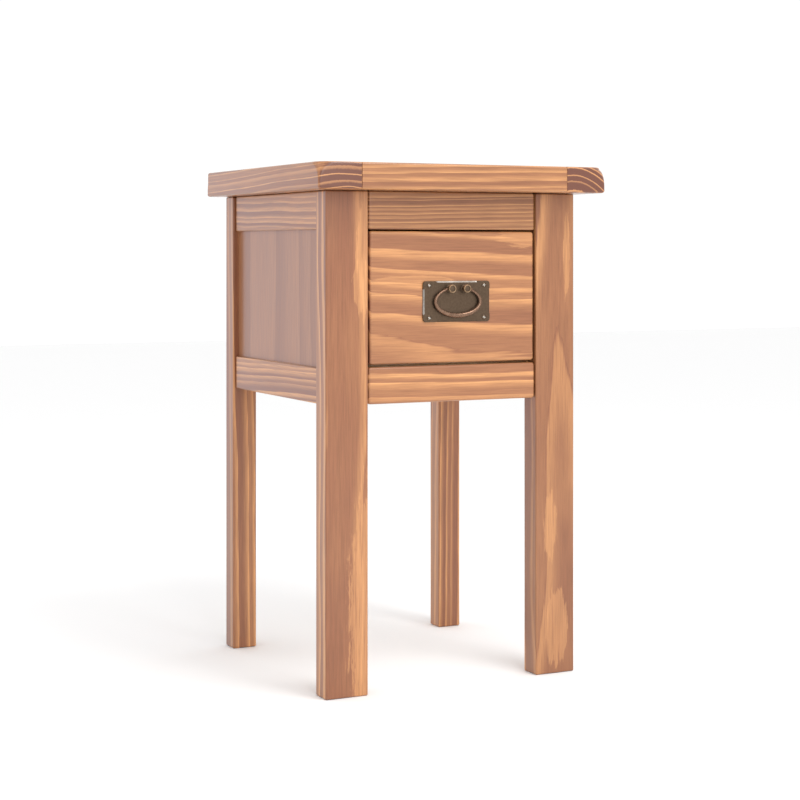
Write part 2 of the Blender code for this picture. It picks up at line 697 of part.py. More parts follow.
def stub_box(side, at_front, overlap, front, middle_z, inner, outer):
    xs = sorted((side * inner, side * outer))
    if at_front:
        ys = (front - STUB_LENGTH, front + overlap)
    else:
        ys = (BACK_RAIL_IN - overlap, BACK_RAIL_IN + STUB_LENGTH)
    return ((xs[0], ys[0], middle_z - STUB_THICKNESS / 2),
            (xs[1], ys[1], middle_z + STUB_THICKNESS / 2))


def make_bearer():
    bearer = board("drawer_bearer", (-OPENING_HALF + TOUCH, BEARER_FRONT, BEARER_HIGH - BEARER_THICKNESS),
                   (OPENING_HALF - TOUCH, BEARER_BACK, BEARER_HIGH), 0, PINE_LIGHT, FRAME)
    cut_boxes(bearer, [grown(runner_stub(side, True, OVERCUT)) for side in SIDES.values()])
    places = bearer_screw_places()
    cut_rods(bearer, screw_rods(places, SCREW_RADIUS, BEARER_SCREW_LENGTH))
    cut_rods(bearer, head_rods(places, SCREW_HEAD_RADIUS, SCREW_HEAD_DEPTH))
    wood_screws("bearer_screw", BEARER_SCREW_LENGTH, places)


def make_runners():
    """Rebated runners: a ledge under the drawer side and a guide beside it."""
    front = BEARER_BACK + TOUCH
    back = BACK_RAIL_IN - TOUCH
    outer = SIDE_RAIL_IN - TOUCH
    for side_name, side in SIDES.items():
        xs = sorted((side * RUNNER_IN, side * outer))
        runner = board(f"drawer_runner_{side_name}", (xs[0], front, RUN_LEVEL - RUNNER_THICKNESS),
                       (xs[1], back, RUN_LEVEL), 0, PINE_LIGHT, FRAME)
        guide = sorted((side * (DRAWER_HALF + TOUCH * 3), side * outer))
        add_boxes(runner, [((guide[0], front, RUN_LEVEL - STUB_THICKNESS),
                            (guide[1], back, RUN_LEVEL + GUIDE_HEIGHT))])
        add_boxes(runner, [runner_stub(side, True, RUNNER_THICKNESS),
                           runner_stub(side, False, RUNNER_THICKNESS)])
        cut_boxes(runner, [rear_leg_notch(side)])


def rear_leg_notch(side):
    """The corner of a runner that gives way to the rear leg."""
    xs = sorted((side * (REAR_OPENING_HALF - TOUCH), side * (FRAME_HALF + OVERCUT)))
    return ((xs[0], REAR_LEG_FRONT - TOUCH, RUN_LEVEL - RUNNER_THICKNESS - OVERCUT),
            (xs[1], FRAME_BACK, RUN_LEVEL + GUIDE_HEIGHT + OVERCUT))


def make_kickers():
    """Bars over the drawer sides that stop the open drawer from tipping."""
    for side_name, side in SIDES.items():
        outer = OPENING_HALF - TOUCH
        xs = sorted((side * outer, side * (outer - KICKER_WIDTH)))
        kicker = board(f"drawer_kicker_{side_name}", (xs[0], FRONT_UPPER_BACK + TOUCH, UPPER_RAIL_LOW),
                       (xs[1], BACK_RAIL_IN - TOUCH, UPPER_RAIL_LOW + KICKER_THICKNESS), 0, PINE_LIGHT,
                       FRAME)
        add_boxes(kicker, [kicker_stub(side, True, KICKER_THICKNESS),
                           kicker_stub(side, False, KICKER_THICKNESS)])


def make_stops():
    """Blocks on the runners that the drawer closes against."""
    front = DRAWER_BACK + TOUCH
    for side_name, side in SIDES.items():
        xs = sorted((side * RUNNER_IN, side * DRAWER_HALF))
        board(f"drawer_stop_{side_name}", (xs[0], front, RUN_LEVEL + TOUCH),
              (xs[1], front + STOP_DEPTH, RUN_LEVEL + STOP_HEIGHT), 0, PINE_LIGHT, FRAME)


def make_cleats():
    """Bars inside the upper side rails that hold the top down."""
    upward = top_screw_places()
    sideways = cleat_screw_places()
    for side_name, side in SIDES.items():
        xs = sorted((side * (SIDE_RAIL_IN - TOUCH), side * (SIDE_RAIL_IN - TOUCH - CLEAT_WIDTH)))
        cleat = board(f"top_cleat_{side_name}", (xs[0], FRONT_LEG_BACK + TOUCH, LEG_TOP - CLEAT_THICKNESS),
                      (xs[1], REAR_LEG_FRONT - TOUCH, LEG_TOP), 0, PINE_LIGHT, FRAME)
        for places, length in ((upward, TOP_SCREW_LENGTH), (sideways, CLEAT_SCREW_LENGTH)):
            held = [place for place in places if place[0][0] * side > 0]
            cut_rods(cleat, screw_rods(held, SCREW_RADIUS, length))
            cut_rods(cleat, head_rods(held, SCREW_HEAD_RADIUS, SCREW_HEAD_DEPTH))
    wood_screws("top_screw", TOP_SCREW_LENGTH, upward)
    wood_screws("cleat_screw", CLEAT_SCREW_LENGTH, sideways)


# Drawer

def drawer_bottom_box():
    return ((-DRAWER_INNER_HALF - DRAWER_GROOVE, DRAWER_FRONT_BACK - DRAWER_GROOVE, DRAWER_BOTTOM_LOW),
            (DRAWER_INNER_HALF + DRAWER_GROOVE, DRAWER_BACK, DRAWER_BOTTOM_HIGH))


def dowel_rods(gap):
    """Two dowels from each drawer side into the front, grown by a gap for their holes."""
    rods = []
    x = DRAWER_HALF - DRAWER_BOARD / 2
    start = DRAWER_FRONT_BACK - DOWEL_IN_FRONT - gap
    end = start + DOWEL_LENGTH + 2 * gap
    rise = (DRAWER_HIGH - DRAWER_LOW) / 4
    for side in SIDES.values():
        for z in (DRAWER_LOW + rise, DRAWER_HIGH - rise):
            rods.append(((side * x, start, z), (side * x, end, z), DOWEL_RADIUS + gap))
    return rods


def drawer_back_box():
    """The back, which is let into a housing in each side and stands on the bottom."""
    half = DRAWER_INNER_HALF + DRAWER_HOUSING
    return ((-half, DRAWER_BACK - DRAWER_BACK_INSET - DRAWER_BOARD, DRAWER_BOTTOM_HIGH + TOUCH),
            (half, DRAWER_BACK - DRAWER_BACK_INSET, DRAWER_HIGH))


def make_drawer_front():
    half = OPENING_HALF - DRAWER_SIDE_GAP
    front = board("drawer_front", (-half, OPENING_FACE, DRAWER_FRONT_LOW),
                  (half, DRAWER_FRONT_BACK, DRAWER_FRONT_HIGH), FRONT_ROUND_OVER, PINE, DRAWER,
                  segments=4)
    low, high = grown(drawer_bottom_box())
    cut_boxes(front, [(low, high)])
    cut_rods(front, dowel_rods(TOUCH))
    stems = [((x, PLATE_FRONT, PIN_Z), (x, DRAWER_FRONT_BACK + OVERCUT, PIN_Z),
              POST_STEM_RADIUS + TOUCH) for x in post_places()]
    cut_rods(front, stems)
    cut_rods(front, screw_rods(plate_screw_places(), SMALL_SCREW_RADIUS, PLATE_SCREW_LENGTH))


def make_drawer_box():
    groove_low, groove_high = grown(drawer_bottom_box())
    groove_high[1] = DRAWER_BACK + OVERCUT
    housing_low, housing_high = grown(drawer_back_box())
    housing_high[2] = DRAWER_HIGH + OVERCUT
    for side_name, side in SIDES.items():
        xs = sorted((side * DRAWER_INNER_HALF, side * DRAWER_HALF))
        wall = board(f"drawer_side_{side_name}", (xs[0], DRAWER_FRONT_BACK + TOUCH, DRAWER_LOW),
                     (xs[1], DRAWER_BACK, DRAWER_HIGH), 0, PINE_LIGHT, DRAWER)
        cut_boxes(wall, [(groove_low, groove_high)])
        cut_boxes(wall, [(housing_low, housing_high)])
        cut_rods(wall, dowel_rods(TOUCH))
    low, high = drawer_back_box()
    board("drawer_back", low, high, 0, PINE_LIGHT, DRAWER)
    low, high = drawer_bottom_box()
    board("drawer_bottom", low, high, 0, PLYWOOD, DRAWER)
    for count, rod in enumerate(dowel_rods(0), 1):
        name = f"drawer_dowel_{count}"
        middle = (Vector(rod[0]) + Vector(rod[1])) / 2
        add_part(name, rod_mesh(name, [rod], 12, middle), middle, PINE_LIGHT, DRAWER)


# Pull

def post_places():
    return PULL_X - POST_SPACING / 2, PULL_X + POST_SPACING / 2


def plate_screw_places():
    """Corner screws of the plate, heads standing on its face."""
    dx = PLATE_WIDTH / 2 - PLATE_SCREW_INSET_X
    dz = PLATE_HEIGHT / 2 - PLATE_SCREW_INSET_Z
    return [((PULL_X + sx * dx, PLATE_FRONT, PULL_Z + sz * dz), (0, -1, 0))
            for sx in (-1, 1) for sz in (-1, 1)]


def rounded_outline(width, height, radius, steps=5):
    """Points round a rectangle whose corners are arcs."""
    points = []
    corners = ((1, 1, 0), (-1, 1, pi / 2), (-1, -1, pi), (1, -1, 3 * pi / 2))
    for sx, sy, turn in corners:
        for step in range(steps + 1):
            angle = turn + pi / 2 * step / steps
            points.append((sx * (width / 2 - radius) + radius * cos(angle),
                           sy * (height / 2 - radius) + radius * sin(angle)))
    return points


def make_plate():
    curve = bpy.data.curves.new("pull_backplate_outline", "CURVE")
    curve.dimensions = "2D"
    curve.fill_mode = "BOTH"
    curve.extrude = PLATE_THICKNESS / 2
    spline = curve.splines.new("POLY")
    outline = rounded_outline(PLATE_WIDTH, PLATE_HEIGHT, PLATE_CORNER)
    spline.points.add(len(outline) - 1)
    for point, (x, y) in zip(spline.points, outline):
        point.co = (x, y, 0, 1)
    spline.use_cyclic_u = True
    mesh = evaluated_mesh(bpy.data.objects.new("pull_backplate_outline", curve))
    shape = bmesh.new()
    shape.from_mesh(mesh)
    bmesh.ops.remove_doubles(shape, verts=shape.verts, dist=0.00001)
    bmesh.ops.recalc_face_normals(shape, faces=shape.faces)
    shape.to_mesh(mesh)
    shape.free()
    middle = (PULL_X, (PLATE_FRONT + PLATE_BACK) / 2, PULL_Z)
    plate = add_part("pull_backplate", mesh, middle, BRASS, DRAWER)
    plate.rotation_euler = (pi / 2, 0, 0)
    past = PLATE_FRONT - OVERCUT
    rods = [((x, past, PIN_Z), (x, PLATE_BACK + OVERCUT, PIN_Z), POST_STEM_RADIUS + TOUCH)
            for x in post_places()]
    rods += [((x, past, z), (x, PLATE_BACK + OVERCUT, z), SMALL_SCREW_RADIUS + TOUCH)
             for (x, y, z), direction in plate_screw_places()]
    cut_rods(plate, rods)


def make_plate_screws():
    """Domed cross-head screws; their flat undersides rest on the plate."""
    dome = SMALL_SCREW_HEAD_DEPTH
    head = SMALL_SCREW_HEAD_RADIUS
    shoulder = (head * PLATE_SCREW_SHOULDER[0], dome * PLATE_SCREW_SHOULDER[1])
    profile = [(0, dome), shoulder, (head, dome * PLATE_SCREW_RIM), (head, TOUCH),
               (SMALL_SCREW_RADIUS, TOUCH), (SMALL_SCREW_RADIUS, -PLATE_SCREW_LENGTH + 2 * head / 3),
               (0, -PLATE_SCREW_LENGTH)]
    for count, (point, direction) in enumerate(plate_screw_places(), 1):
        turned_part(f"pull_screw_{count}", profile, 12, point, direction, BRASS, DRAWER)


def post_profile():
    """Half section of a post: dished head, neck, collar on the plate and stem through the front."""
    head_low = PIN_HEIGHT + BAIL_THIN_RADIUS + PIN_CLEARANCE + TOUCH
    head_high = head_low + POST_HEAD_THICKNESS
    ring = POST_HEAD_RADIUS * POST_DISH_SHARE
    stem_low = -(PLATE_THICKNESS + TOUCH + DRAWER_FRONT_THICKNESS + POST_STEM_PROUD)
    return [(0, head_high - POST_HEAD_DISH), (ring, head_high - POST_HEAD_DISH),
            (ring + POST_HEAD_DISH, head_high), (POST_HEAD_RADIUS - POST_HEAD_DISH, head_high),
            (POST_HEAD_RADIUS, head_high - POST_HEAD_DISH), (POST_HEAD_RADIUS, head_low + POST_HEAD_DISH),
            (POST_NECK_RADIUS, head_low), (POST_NECK_RADIUS, TOUCH), (POST_STEM_RADIUS, TOUCH),
            (POST_STEM_RADIUS, stem_low), (0, stem_low)]


def make_posts():
    for side_name, side in SIDES.items():
        name = f"pull_post_{side_name}"
        x = PULL_X + side * POST_SPACING / 2
        post = turned_part(name, post_profile(), 24, (x, PLATE_FRONT, PIN_Z), (0, -1, 0), BRASS, DRAWER)
        outside = x + side * (POST_HEAD_RADIUS + OVERCUT)
        cut_rods(post, [((outside, PIN_Y, PIN_Z), (x, PIN_Y, PIN_Z), BAIL_PIN_RADIUS + PIN_CLEARANCE)])


def make_nuts():
    """A washer and a hexagon nut on each post's stem, inside the drawer."""
    washer_face = DRAWER_FRONT_BACK + TOUCH
    nut_face = washer_face + WASHER_THICKNESS + TOUCH
    for side_name, x in zip(SIDES, post_places()):
        bore = ((x, washer_face - OVERCUT, PIN_Z), (x, nut_face + NUT_THICKNESS + OVERCUT, PIN_Z),
                POST_STEM_RADIUS + TOUCH)
        for name, face, thickness, radius, steps in (
                ("pull_washer_", washer_face, WASHER_THICKNESS, WASHER_RADIUS, 20),
                ("pull_nut_", nut_face, NUT_THICKNESS, NUT_RADIUS, 6)):
            middle = (x, face + thickness / 2, PIN_Z)
            rod = ((x, face, PIN_Z), (x, face + thickness, PIN_Z), radius)
            name = name + side_name
            part = add_part(name, rod_mesh(name, [rod], steps, middle), middle, STEEL, DRAWER)
            cut_rods(part, [bore])


def bail_points():
    """Right half of the bail from its lowest point to its pin, as (x, z, radius) about the axis."""
    points = []
    steps = 18
    for step in range(steps + 1):
        angle = BAIL_SPREAD * step / steps
        share = step / steps
        radius = BAIL_THICK_RADIUS + (BAIL_THIN_RADIUS - BAIL_THICK_RADIUS) * share ** BAIL_TAPER
        points.append((BAIL_HALF_WIDTH * sin(angle),
                       -BAIL_CENTRE_DROP - BAIL_HALF_HEIGHT * cos(angle), radius))
    last_x, last_z, radius = points[-1]
    post = POST_SPACING / 2
    collar = post + BAIL_COLLAR_REACH
    bead, edge = BAIL_COLLAR_HALF
    high, mid, low, last = BAIL_ARM_RISES
    for reach, rise, width in ((collar + edge, high, BAIL_THIN_RADIUS),
                               (collar + bead, mid, BAIL_COLLAR_RADIUS),
                               (collar - bead, low, BAIL_COLLAR_RADIUS),
                               (collar - edge, last, BAIL_PIN_RADIUS),
                               (post + POST_NECK_RADIUS, 0, BAIL_PIN_RADIUS),
                               (post + PIN_CLEARANCE * 3, 0, BAIL_PIN_RADIUS)):
        points.append((reach, last_z * rise, width))
    return points


def make_bail():
    """Oval loop, thick at the bottom, whose two ends turn in the posts."""
    half = bail_points()
    mirrored = [(-x, z, radius) for x, z, radius in reversed(half[1:])]
    points = mirrored + half
    curve = bpy.data.curves.new("pull_bail", "CURVE")
    curve.dimensions = "3D"
    curve.bevel_depth = 1
    curve.bevel_resolution = 3
    curve.use_fill_caps = True
    spline = curve.splines.new("POLY")
    spline.points.add(len(points) - 1)
    for point, (x, z, radius) in zip(spline.points, points):
        point.co = (x, 0, z, 1)
        point.radius = radius
    add_part("pull_bail", curve, (PULL_X, PIN_Y, PIN_Z), BRASS, DRAWER)


clear_scene()
PARTS = new_collection("side_table_with_drawer")
TOOLS = new_collection("cutters")
FRAME = add_empty("frame_origin", (0, 0, 0))
DRAWER = add_empty("drawer_origin", (0, OPENING_FACE, DRAWER_FRONT_LOW))

make_top()
make_legs()
make_side_frames()
make_front_rails()
make_back()
make_bearer()
make_runners()
make_kickers()
make_stops()
make_cleats()
make_drawer_front()
make_drawer_box()
make_plate()
make_plate_screws()
make_posts()
make_nuts()
make_bail()
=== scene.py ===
"""Side table with one drawer: stained pine, an antique brass bail pull and a pale studio.

The frame gives every board, joint and pull part; this script gives them their finished surfaces.
Lengths are in metres, and the front of the table faces -Y.
"""

import json
from math import cos, pi, radians, sin

import bpy
import numpy as np
from mathutils import Euler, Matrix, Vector


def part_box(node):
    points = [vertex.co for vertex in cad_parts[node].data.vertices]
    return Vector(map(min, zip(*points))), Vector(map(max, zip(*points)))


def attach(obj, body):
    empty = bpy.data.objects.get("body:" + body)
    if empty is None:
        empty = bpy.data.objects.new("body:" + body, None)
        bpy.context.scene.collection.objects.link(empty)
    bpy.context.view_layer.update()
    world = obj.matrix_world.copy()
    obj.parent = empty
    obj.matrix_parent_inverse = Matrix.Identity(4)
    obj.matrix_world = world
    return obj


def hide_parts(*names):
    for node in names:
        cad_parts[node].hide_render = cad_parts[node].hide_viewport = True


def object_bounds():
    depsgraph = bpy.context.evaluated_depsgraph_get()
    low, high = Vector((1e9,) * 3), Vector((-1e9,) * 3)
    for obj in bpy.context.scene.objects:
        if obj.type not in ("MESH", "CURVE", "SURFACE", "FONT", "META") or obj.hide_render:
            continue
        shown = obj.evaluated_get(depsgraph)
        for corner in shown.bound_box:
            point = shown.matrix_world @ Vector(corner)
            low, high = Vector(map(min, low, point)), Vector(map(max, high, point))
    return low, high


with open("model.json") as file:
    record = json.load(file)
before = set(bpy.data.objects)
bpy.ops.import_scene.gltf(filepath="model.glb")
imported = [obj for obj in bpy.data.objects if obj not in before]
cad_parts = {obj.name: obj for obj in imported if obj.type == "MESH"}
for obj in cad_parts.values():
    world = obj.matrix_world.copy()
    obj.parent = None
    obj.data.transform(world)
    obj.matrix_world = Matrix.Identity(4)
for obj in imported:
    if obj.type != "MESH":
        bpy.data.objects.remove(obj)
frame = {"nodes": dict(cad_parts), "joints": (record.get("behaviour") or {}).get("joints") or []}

CAD_BOX = [list(corner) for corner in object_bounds()]
HIGH = Vector(CAD_BOX[1])
SCENE = bpy.context.scene


# Mesh building

def finished_mesh(name, points, faces, normals=None, sharp=radians(40)):
    """An object from arrays of points and faces, smooth-shaded; normals may be given per point."""
    mesh = bpy.data.meshes.new(name)
    mesh.from_pydata(points.tolist(), [], faces)
    mesh.validate()
    mesh.shade_smooth()
    if normals is None:
        mesh.set_sharp_from_angle(angle=sharp)
    else:
        mesh.normals_split_custom_set_from_vertices(normals.tolist())
    piece = bpy.data.objects.new(name, mesh)
    SCENE.collection.objects.link(piece)
    return piece


def ring_faces(levels, around):
    """Quads between closed rings of points that follow one another.

    Each quad takes a point and the one after it in its ring, then the same two in the next ring."""
    base = np.arange(levels - 1)[:, None] * around
    point = np.arange(around)[None]
    after = (point + 1) % around
    quads = np.stack([base + point, base + after, base + around + after, base + around + point], 2)
    return quads.reshape(-1, 4).tolist()


def capped_faces(levels, around):
    """The quads between rings, and one flat cap on the first and on the last ring."""
    faces = ring_faces(levels, around)
    faces.append(tuple(range(around - 1, -1, -1)))
    last = (levels - 1) * around
    faces.append(tuple(range(last, last + around)))
    return faces


QUARTER_STEPS = 6
LEAST_RADIUS = 0.0002


def rounded_section(low, high, radii, steps=QUARTER_STEPS):
    """Rectangle with a quarter circle of its own radius at each corner, anticlockwise.

    Each corner is centre + radius * (cos a, sin a); the outward normal is (cos a, sin a)."""
    corners = ((high[0], high[1], 0), (low[0], high[1], 1), (low[0], low[1], 2), (high[0], low[1], 3))
    turn = np.linspace(0, pi / 2, steps + 1)
    points = []
    normals = []
    for (x, y, quarter), radius in zip(corners, radii):
        angle = turn + quarter * pi / 2
        sx = 1 if quarter in (0, 3) else -1
        sy = 1 if quarter in (0, 1) else -1
        normal = np.stack([np.cos(angle), np.sin(angle)], 1)
        centre = np.array([x - sx * radius, y - sy * radius])
        points.append(centre + radius * normal)
        normals.append(normal)
    return np.concatenate(points), np.concatenate(normals)


# For each grain direction, the two axes of the section and the axis along the board
AXES = {"X": (1, 2, 0), "Y": (2, 0, 1), "Z": (0, 1, 2)}


def eased_board(name, node, along, radii, end_radius, body):
    """A board whose section is a rounded rectangle carried along one axis.

    At each end the section shrinks by r(1 - cos t) while it moves on by r sin t, a quarter round."""
    low, high = (np.array(corner) for corner in VISIBLE.get(node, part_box(node)))
    first, second, third = AXES[along]
    turn = np.linspace(0, pi / 2, QUARTER_STEPS + 1)
    levels = [(low[third] + end_radius * (1 - sin(t)), end_radius * (1 - cos(t)), -sin(t), cos(t))
              for t in turn[::-1]]
    levels += [(high[third] - end_radius * (1 - sin(t)), end_radius * (1 - cos(t)), sin(t), cos(t))
               for t in turn]
    points = []
    normals = []
    for place, inset, lift, spread in levels:
        section_low = (low[first] + inset, low[second] + inset)
        section_high = (high[first] - inset, high[second] - inset)
        shrunk = [max(radius - inset, LEAST_RADIUS) for radius in radii]
        flat, outward = rounded_section(section_low, section_high, shrunk)
        ring = np.empty((len(flat), 3))
        ring[:, first] = flat[:, 0]
        ring[:, second] = flat[:, 1]
        ring[:, third] = place
        normal = np.empty((len(flat), 3))
        normal[:, first] = outward[:, 0] * spread
        normal[:, second] = outward[:, 1] * spread
        normal[:, third] = lift
        points.append(ring)
        normals.append(normal)
    around = len(points[0])
    piece = finished_mesh(name, np.concatenate(points), capped_faces(len(levels), around),
                          np.concatenate(normals))
    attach(piece, body)
    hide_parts(node)
    return piece


# Nodes for materials

class Nodes:
    """A node tree that is written as nested calls."""

    def __init__(self, tree):
        self.tree = tree

    def add(self, kind, inputs=None, **settings):
        """A new node with its settings, and each input linked or set."""
        node = self.tree.nodes.new("ShaderNode" + kind)
        for key, value in settings.items():
            setattr(node, key, value)
        for key, value in (inputs or {}).items():
            self.put(node.inputs[key], value)
        return node

    def put(self, socket, value):
        if isinstance(value, bpy.types.NodeSocket):
            self.tree.links.new(value, socket)
        else:
            socket.default_value = value

    def math(self, operation, *values):
        node = self.add("Math", operation=operation)
        for socket, value in zip(node.inputs, values):
            self.put(socket, value)
        return node.outputs[0]

    def vector(self, operation, first, second):
        node = self.add("VectorMath", {0: first}, operation=operation)
        self.put(node.inputs["Scale" if operation == "SCALE" else 1], second)
        return node.outputs[0]

    def noise(self, vector, scale=1.0, detail=2.0, rough=0.5, output="Fac"):
        node = self.add("TexNoise", {"Vector": vector, "Scale": scale, "Detail": detail,
                                     "Roughness": rough})
        return node.outputs[output]

    def stretched(self, vector, scales, **options):
        """Noise with its own scale along each axis."""
        return self.noise(self.vector("MULTIPLY", vector, scales), **options)

    def remap(self, value, low, high, to_low=0.0, to_high=1.0, smooth=True):
        node = self.add("MapRange", {"Value": value, "From Min": low, "From Max": high,
                                     "To Min": to_low, "To Max": to_high})
        node.interpolation_type = "SMOOTHSTEP" if smooth else "LINEAR"
        return node.outputs[0]

    def mix(self, factor, first, second, blend="MIX"):
        """Two colours mixed; a Mix node's colour sockets are inputs 6 and 7 and output 2."""
        node = self.add("Mix", data_type="RGBA", blend_type=blend)
        self.put(node.inputs[0], factor)
        self.put(node.inputs[6], first)
        self.put(node.inputs[7], second)
        return node.outputs[2]


def colour(red, green, blue):
    return (red, green, blue, 1.0)


def new_material(name):
    """An empty material with one Principled shader wired to its output."""
    material = bpy.data.materials.new(name)
    material.use_nodes = True
    material.node_tree.nodes.clear()
    nodes = Nodes(material.node_tree)
    output = nodes.add("OutputMaterial")
    shader = nodes.add("BsdfPrincipled")
    nodes.tree.links.new(shader.outputs[0], output.inputs[0])
    return material, nodes, shader


def growth_rings():
    """Node group for pine: distance from the pith, warped, gives each ring its early and late wood.

    The grain runs along Z and the pith is at the origin.  Late is 1 in the pale hard late wood, Tone
    is one number for each ring, and Fibre is fine streaks along the grain."""
    tree = bpy.data.node_groups.new("pine_growth_rings", "ShaderNodeTree")
    sockets = tree.interface
    sockets.new_socket("Place", in_out="INPUT", socket_type="NodeSocketVector")
    for name in ("Spacing", "Taper", "Waviness", "Softness"):
        sockets.new_socket(name, in_out="INPUT", socket_type="NodeSocketFloat")
    for name in ("Late", "Tone", "Fibre", "Streak"):
        sockets.new_socket(name, in_out="OUTPUT", socket_type="NodeSocketFloat")
    nodes = Nodes(tree)
    given = tree.nodes.new("NodeGroupInput").outputs
    result = tree.nodes.new("NodeGroupOutput").inputs
    place = given["Place"]
    half = (0.5, 0.5, 0.5)
    bend = nodes.vector("SUBTRACT", nodes.stretched(place, (7, 7, 2.2), output="Color"), half)
    bend = nodes.vector("SCALE", bend, given["Waviness"])
    ripple = nodes.vector("SUBTRACT", nodes.stretched(place, (55, 55, 14), output="Color"), half)
    ripple = nodes.vector("MULTIPLY", ripple, (0.0016, 0.0016, 0))
    bent = nodes.vector("ADD", nodes.vector("ADD", place, bend), ripple)
    parts = nodes.add("SeparateXYZ", {0: bent}).outputs
    square = nodes.math("ADD", nodes.math("MULTIPLY", parts[0], parts[0]),
                        nodes.math("MULTIPLY", parts[1], parts[1]))
    reach = nodes.math("MULTIPLY_ADD", parts[2], given["Taper"], nodes.math("SQRT", square))
    rings = nodes.math("DIVIDE", reach, given["Spacing"])
    streak = nodes.stretched(place, (420, 420, 16), detail=3.0)
    drift = nodes.add("TexNoise", {"W": nodes.math("MULTIPLY", rings, 0.55), "Scale": 1.0,
                                   "Detail": 1.0}, noise_dimensions="1D").outputs["Fac"]
    rings = nodes.math("MULTIPLY_ADD", drift, 1.6, rings)
    rings = nodes.math("MULTIPLY_ADD", nodes.math("SUBTRACT", streak, 0.5), 0.16, rings)
    part = nodes.math("FRACT", rings)
    count = nodes.math("FLOOR", rings)
    start = nodes.math("SUBTRACT", 0.62, given["Softness"])
    rise = nodes.remap(part, start, 0.86)
    fall = nodes.remap(part, 0.93, 1.0, 1.0, 0.0)
    strength = nodes.add("TexWhiteNoise", {"W": count}, noise_dimensions="1D").outputs["Value"]
    strength = nodes.math("MULTIPLY_ADD", strength, 0.5, 0.5)
    tone = nodes.add("TexWhiteNoise", {"W": nodes.math("ADD", count, 7.3)}, noise_dimensions="1D")
    fibre = nodes.stretched(place, (800, 800, 22), detail=3.0, rough=0.7)
    nodes.put(result["Late"], nodes.math("MULTIPLY", nodes.math("MULTIPLY", rise, fall), strength))
    nodes.put(result["Tone"], tone.outputs["Value"])
    nodes.put(result["Fibre"], fibre)
    nodes.put(result["Streak"], streak)
    return tree


RINGS = growth_rings()

# Turn that lays each grain direction along Z, and the grain's own direction
GRAIN_TURN = {"X": Euler((0, -pi / 2, 0)), "Y": Euler((pi / 2, 0, 0)), "Z": Euler((0, 0, 0))}
GRAIN_LINE = {"X": (1, 0, 0), "Y": (0, 1, 0), "Z": (0, 0, 1)}

# Early wood, late wood, and the dark early wood of an end-grain face
STAINED = (colour(0.245, 0.090, 0.042), colour(0.66, 0.315, 0.125), colour(0.140, 0.048, 0.028))
PANEL = (colour(0.30, 0.122, 0.060), colour(0.43, 0.190, 0.090), colour(0.140, 0.048, 0.028))
PLAIN = (colour(0.66, 0.40, 0.19), colour(0.50, 0.25, 0.10), colour(0.42, 0.22, 0.10))


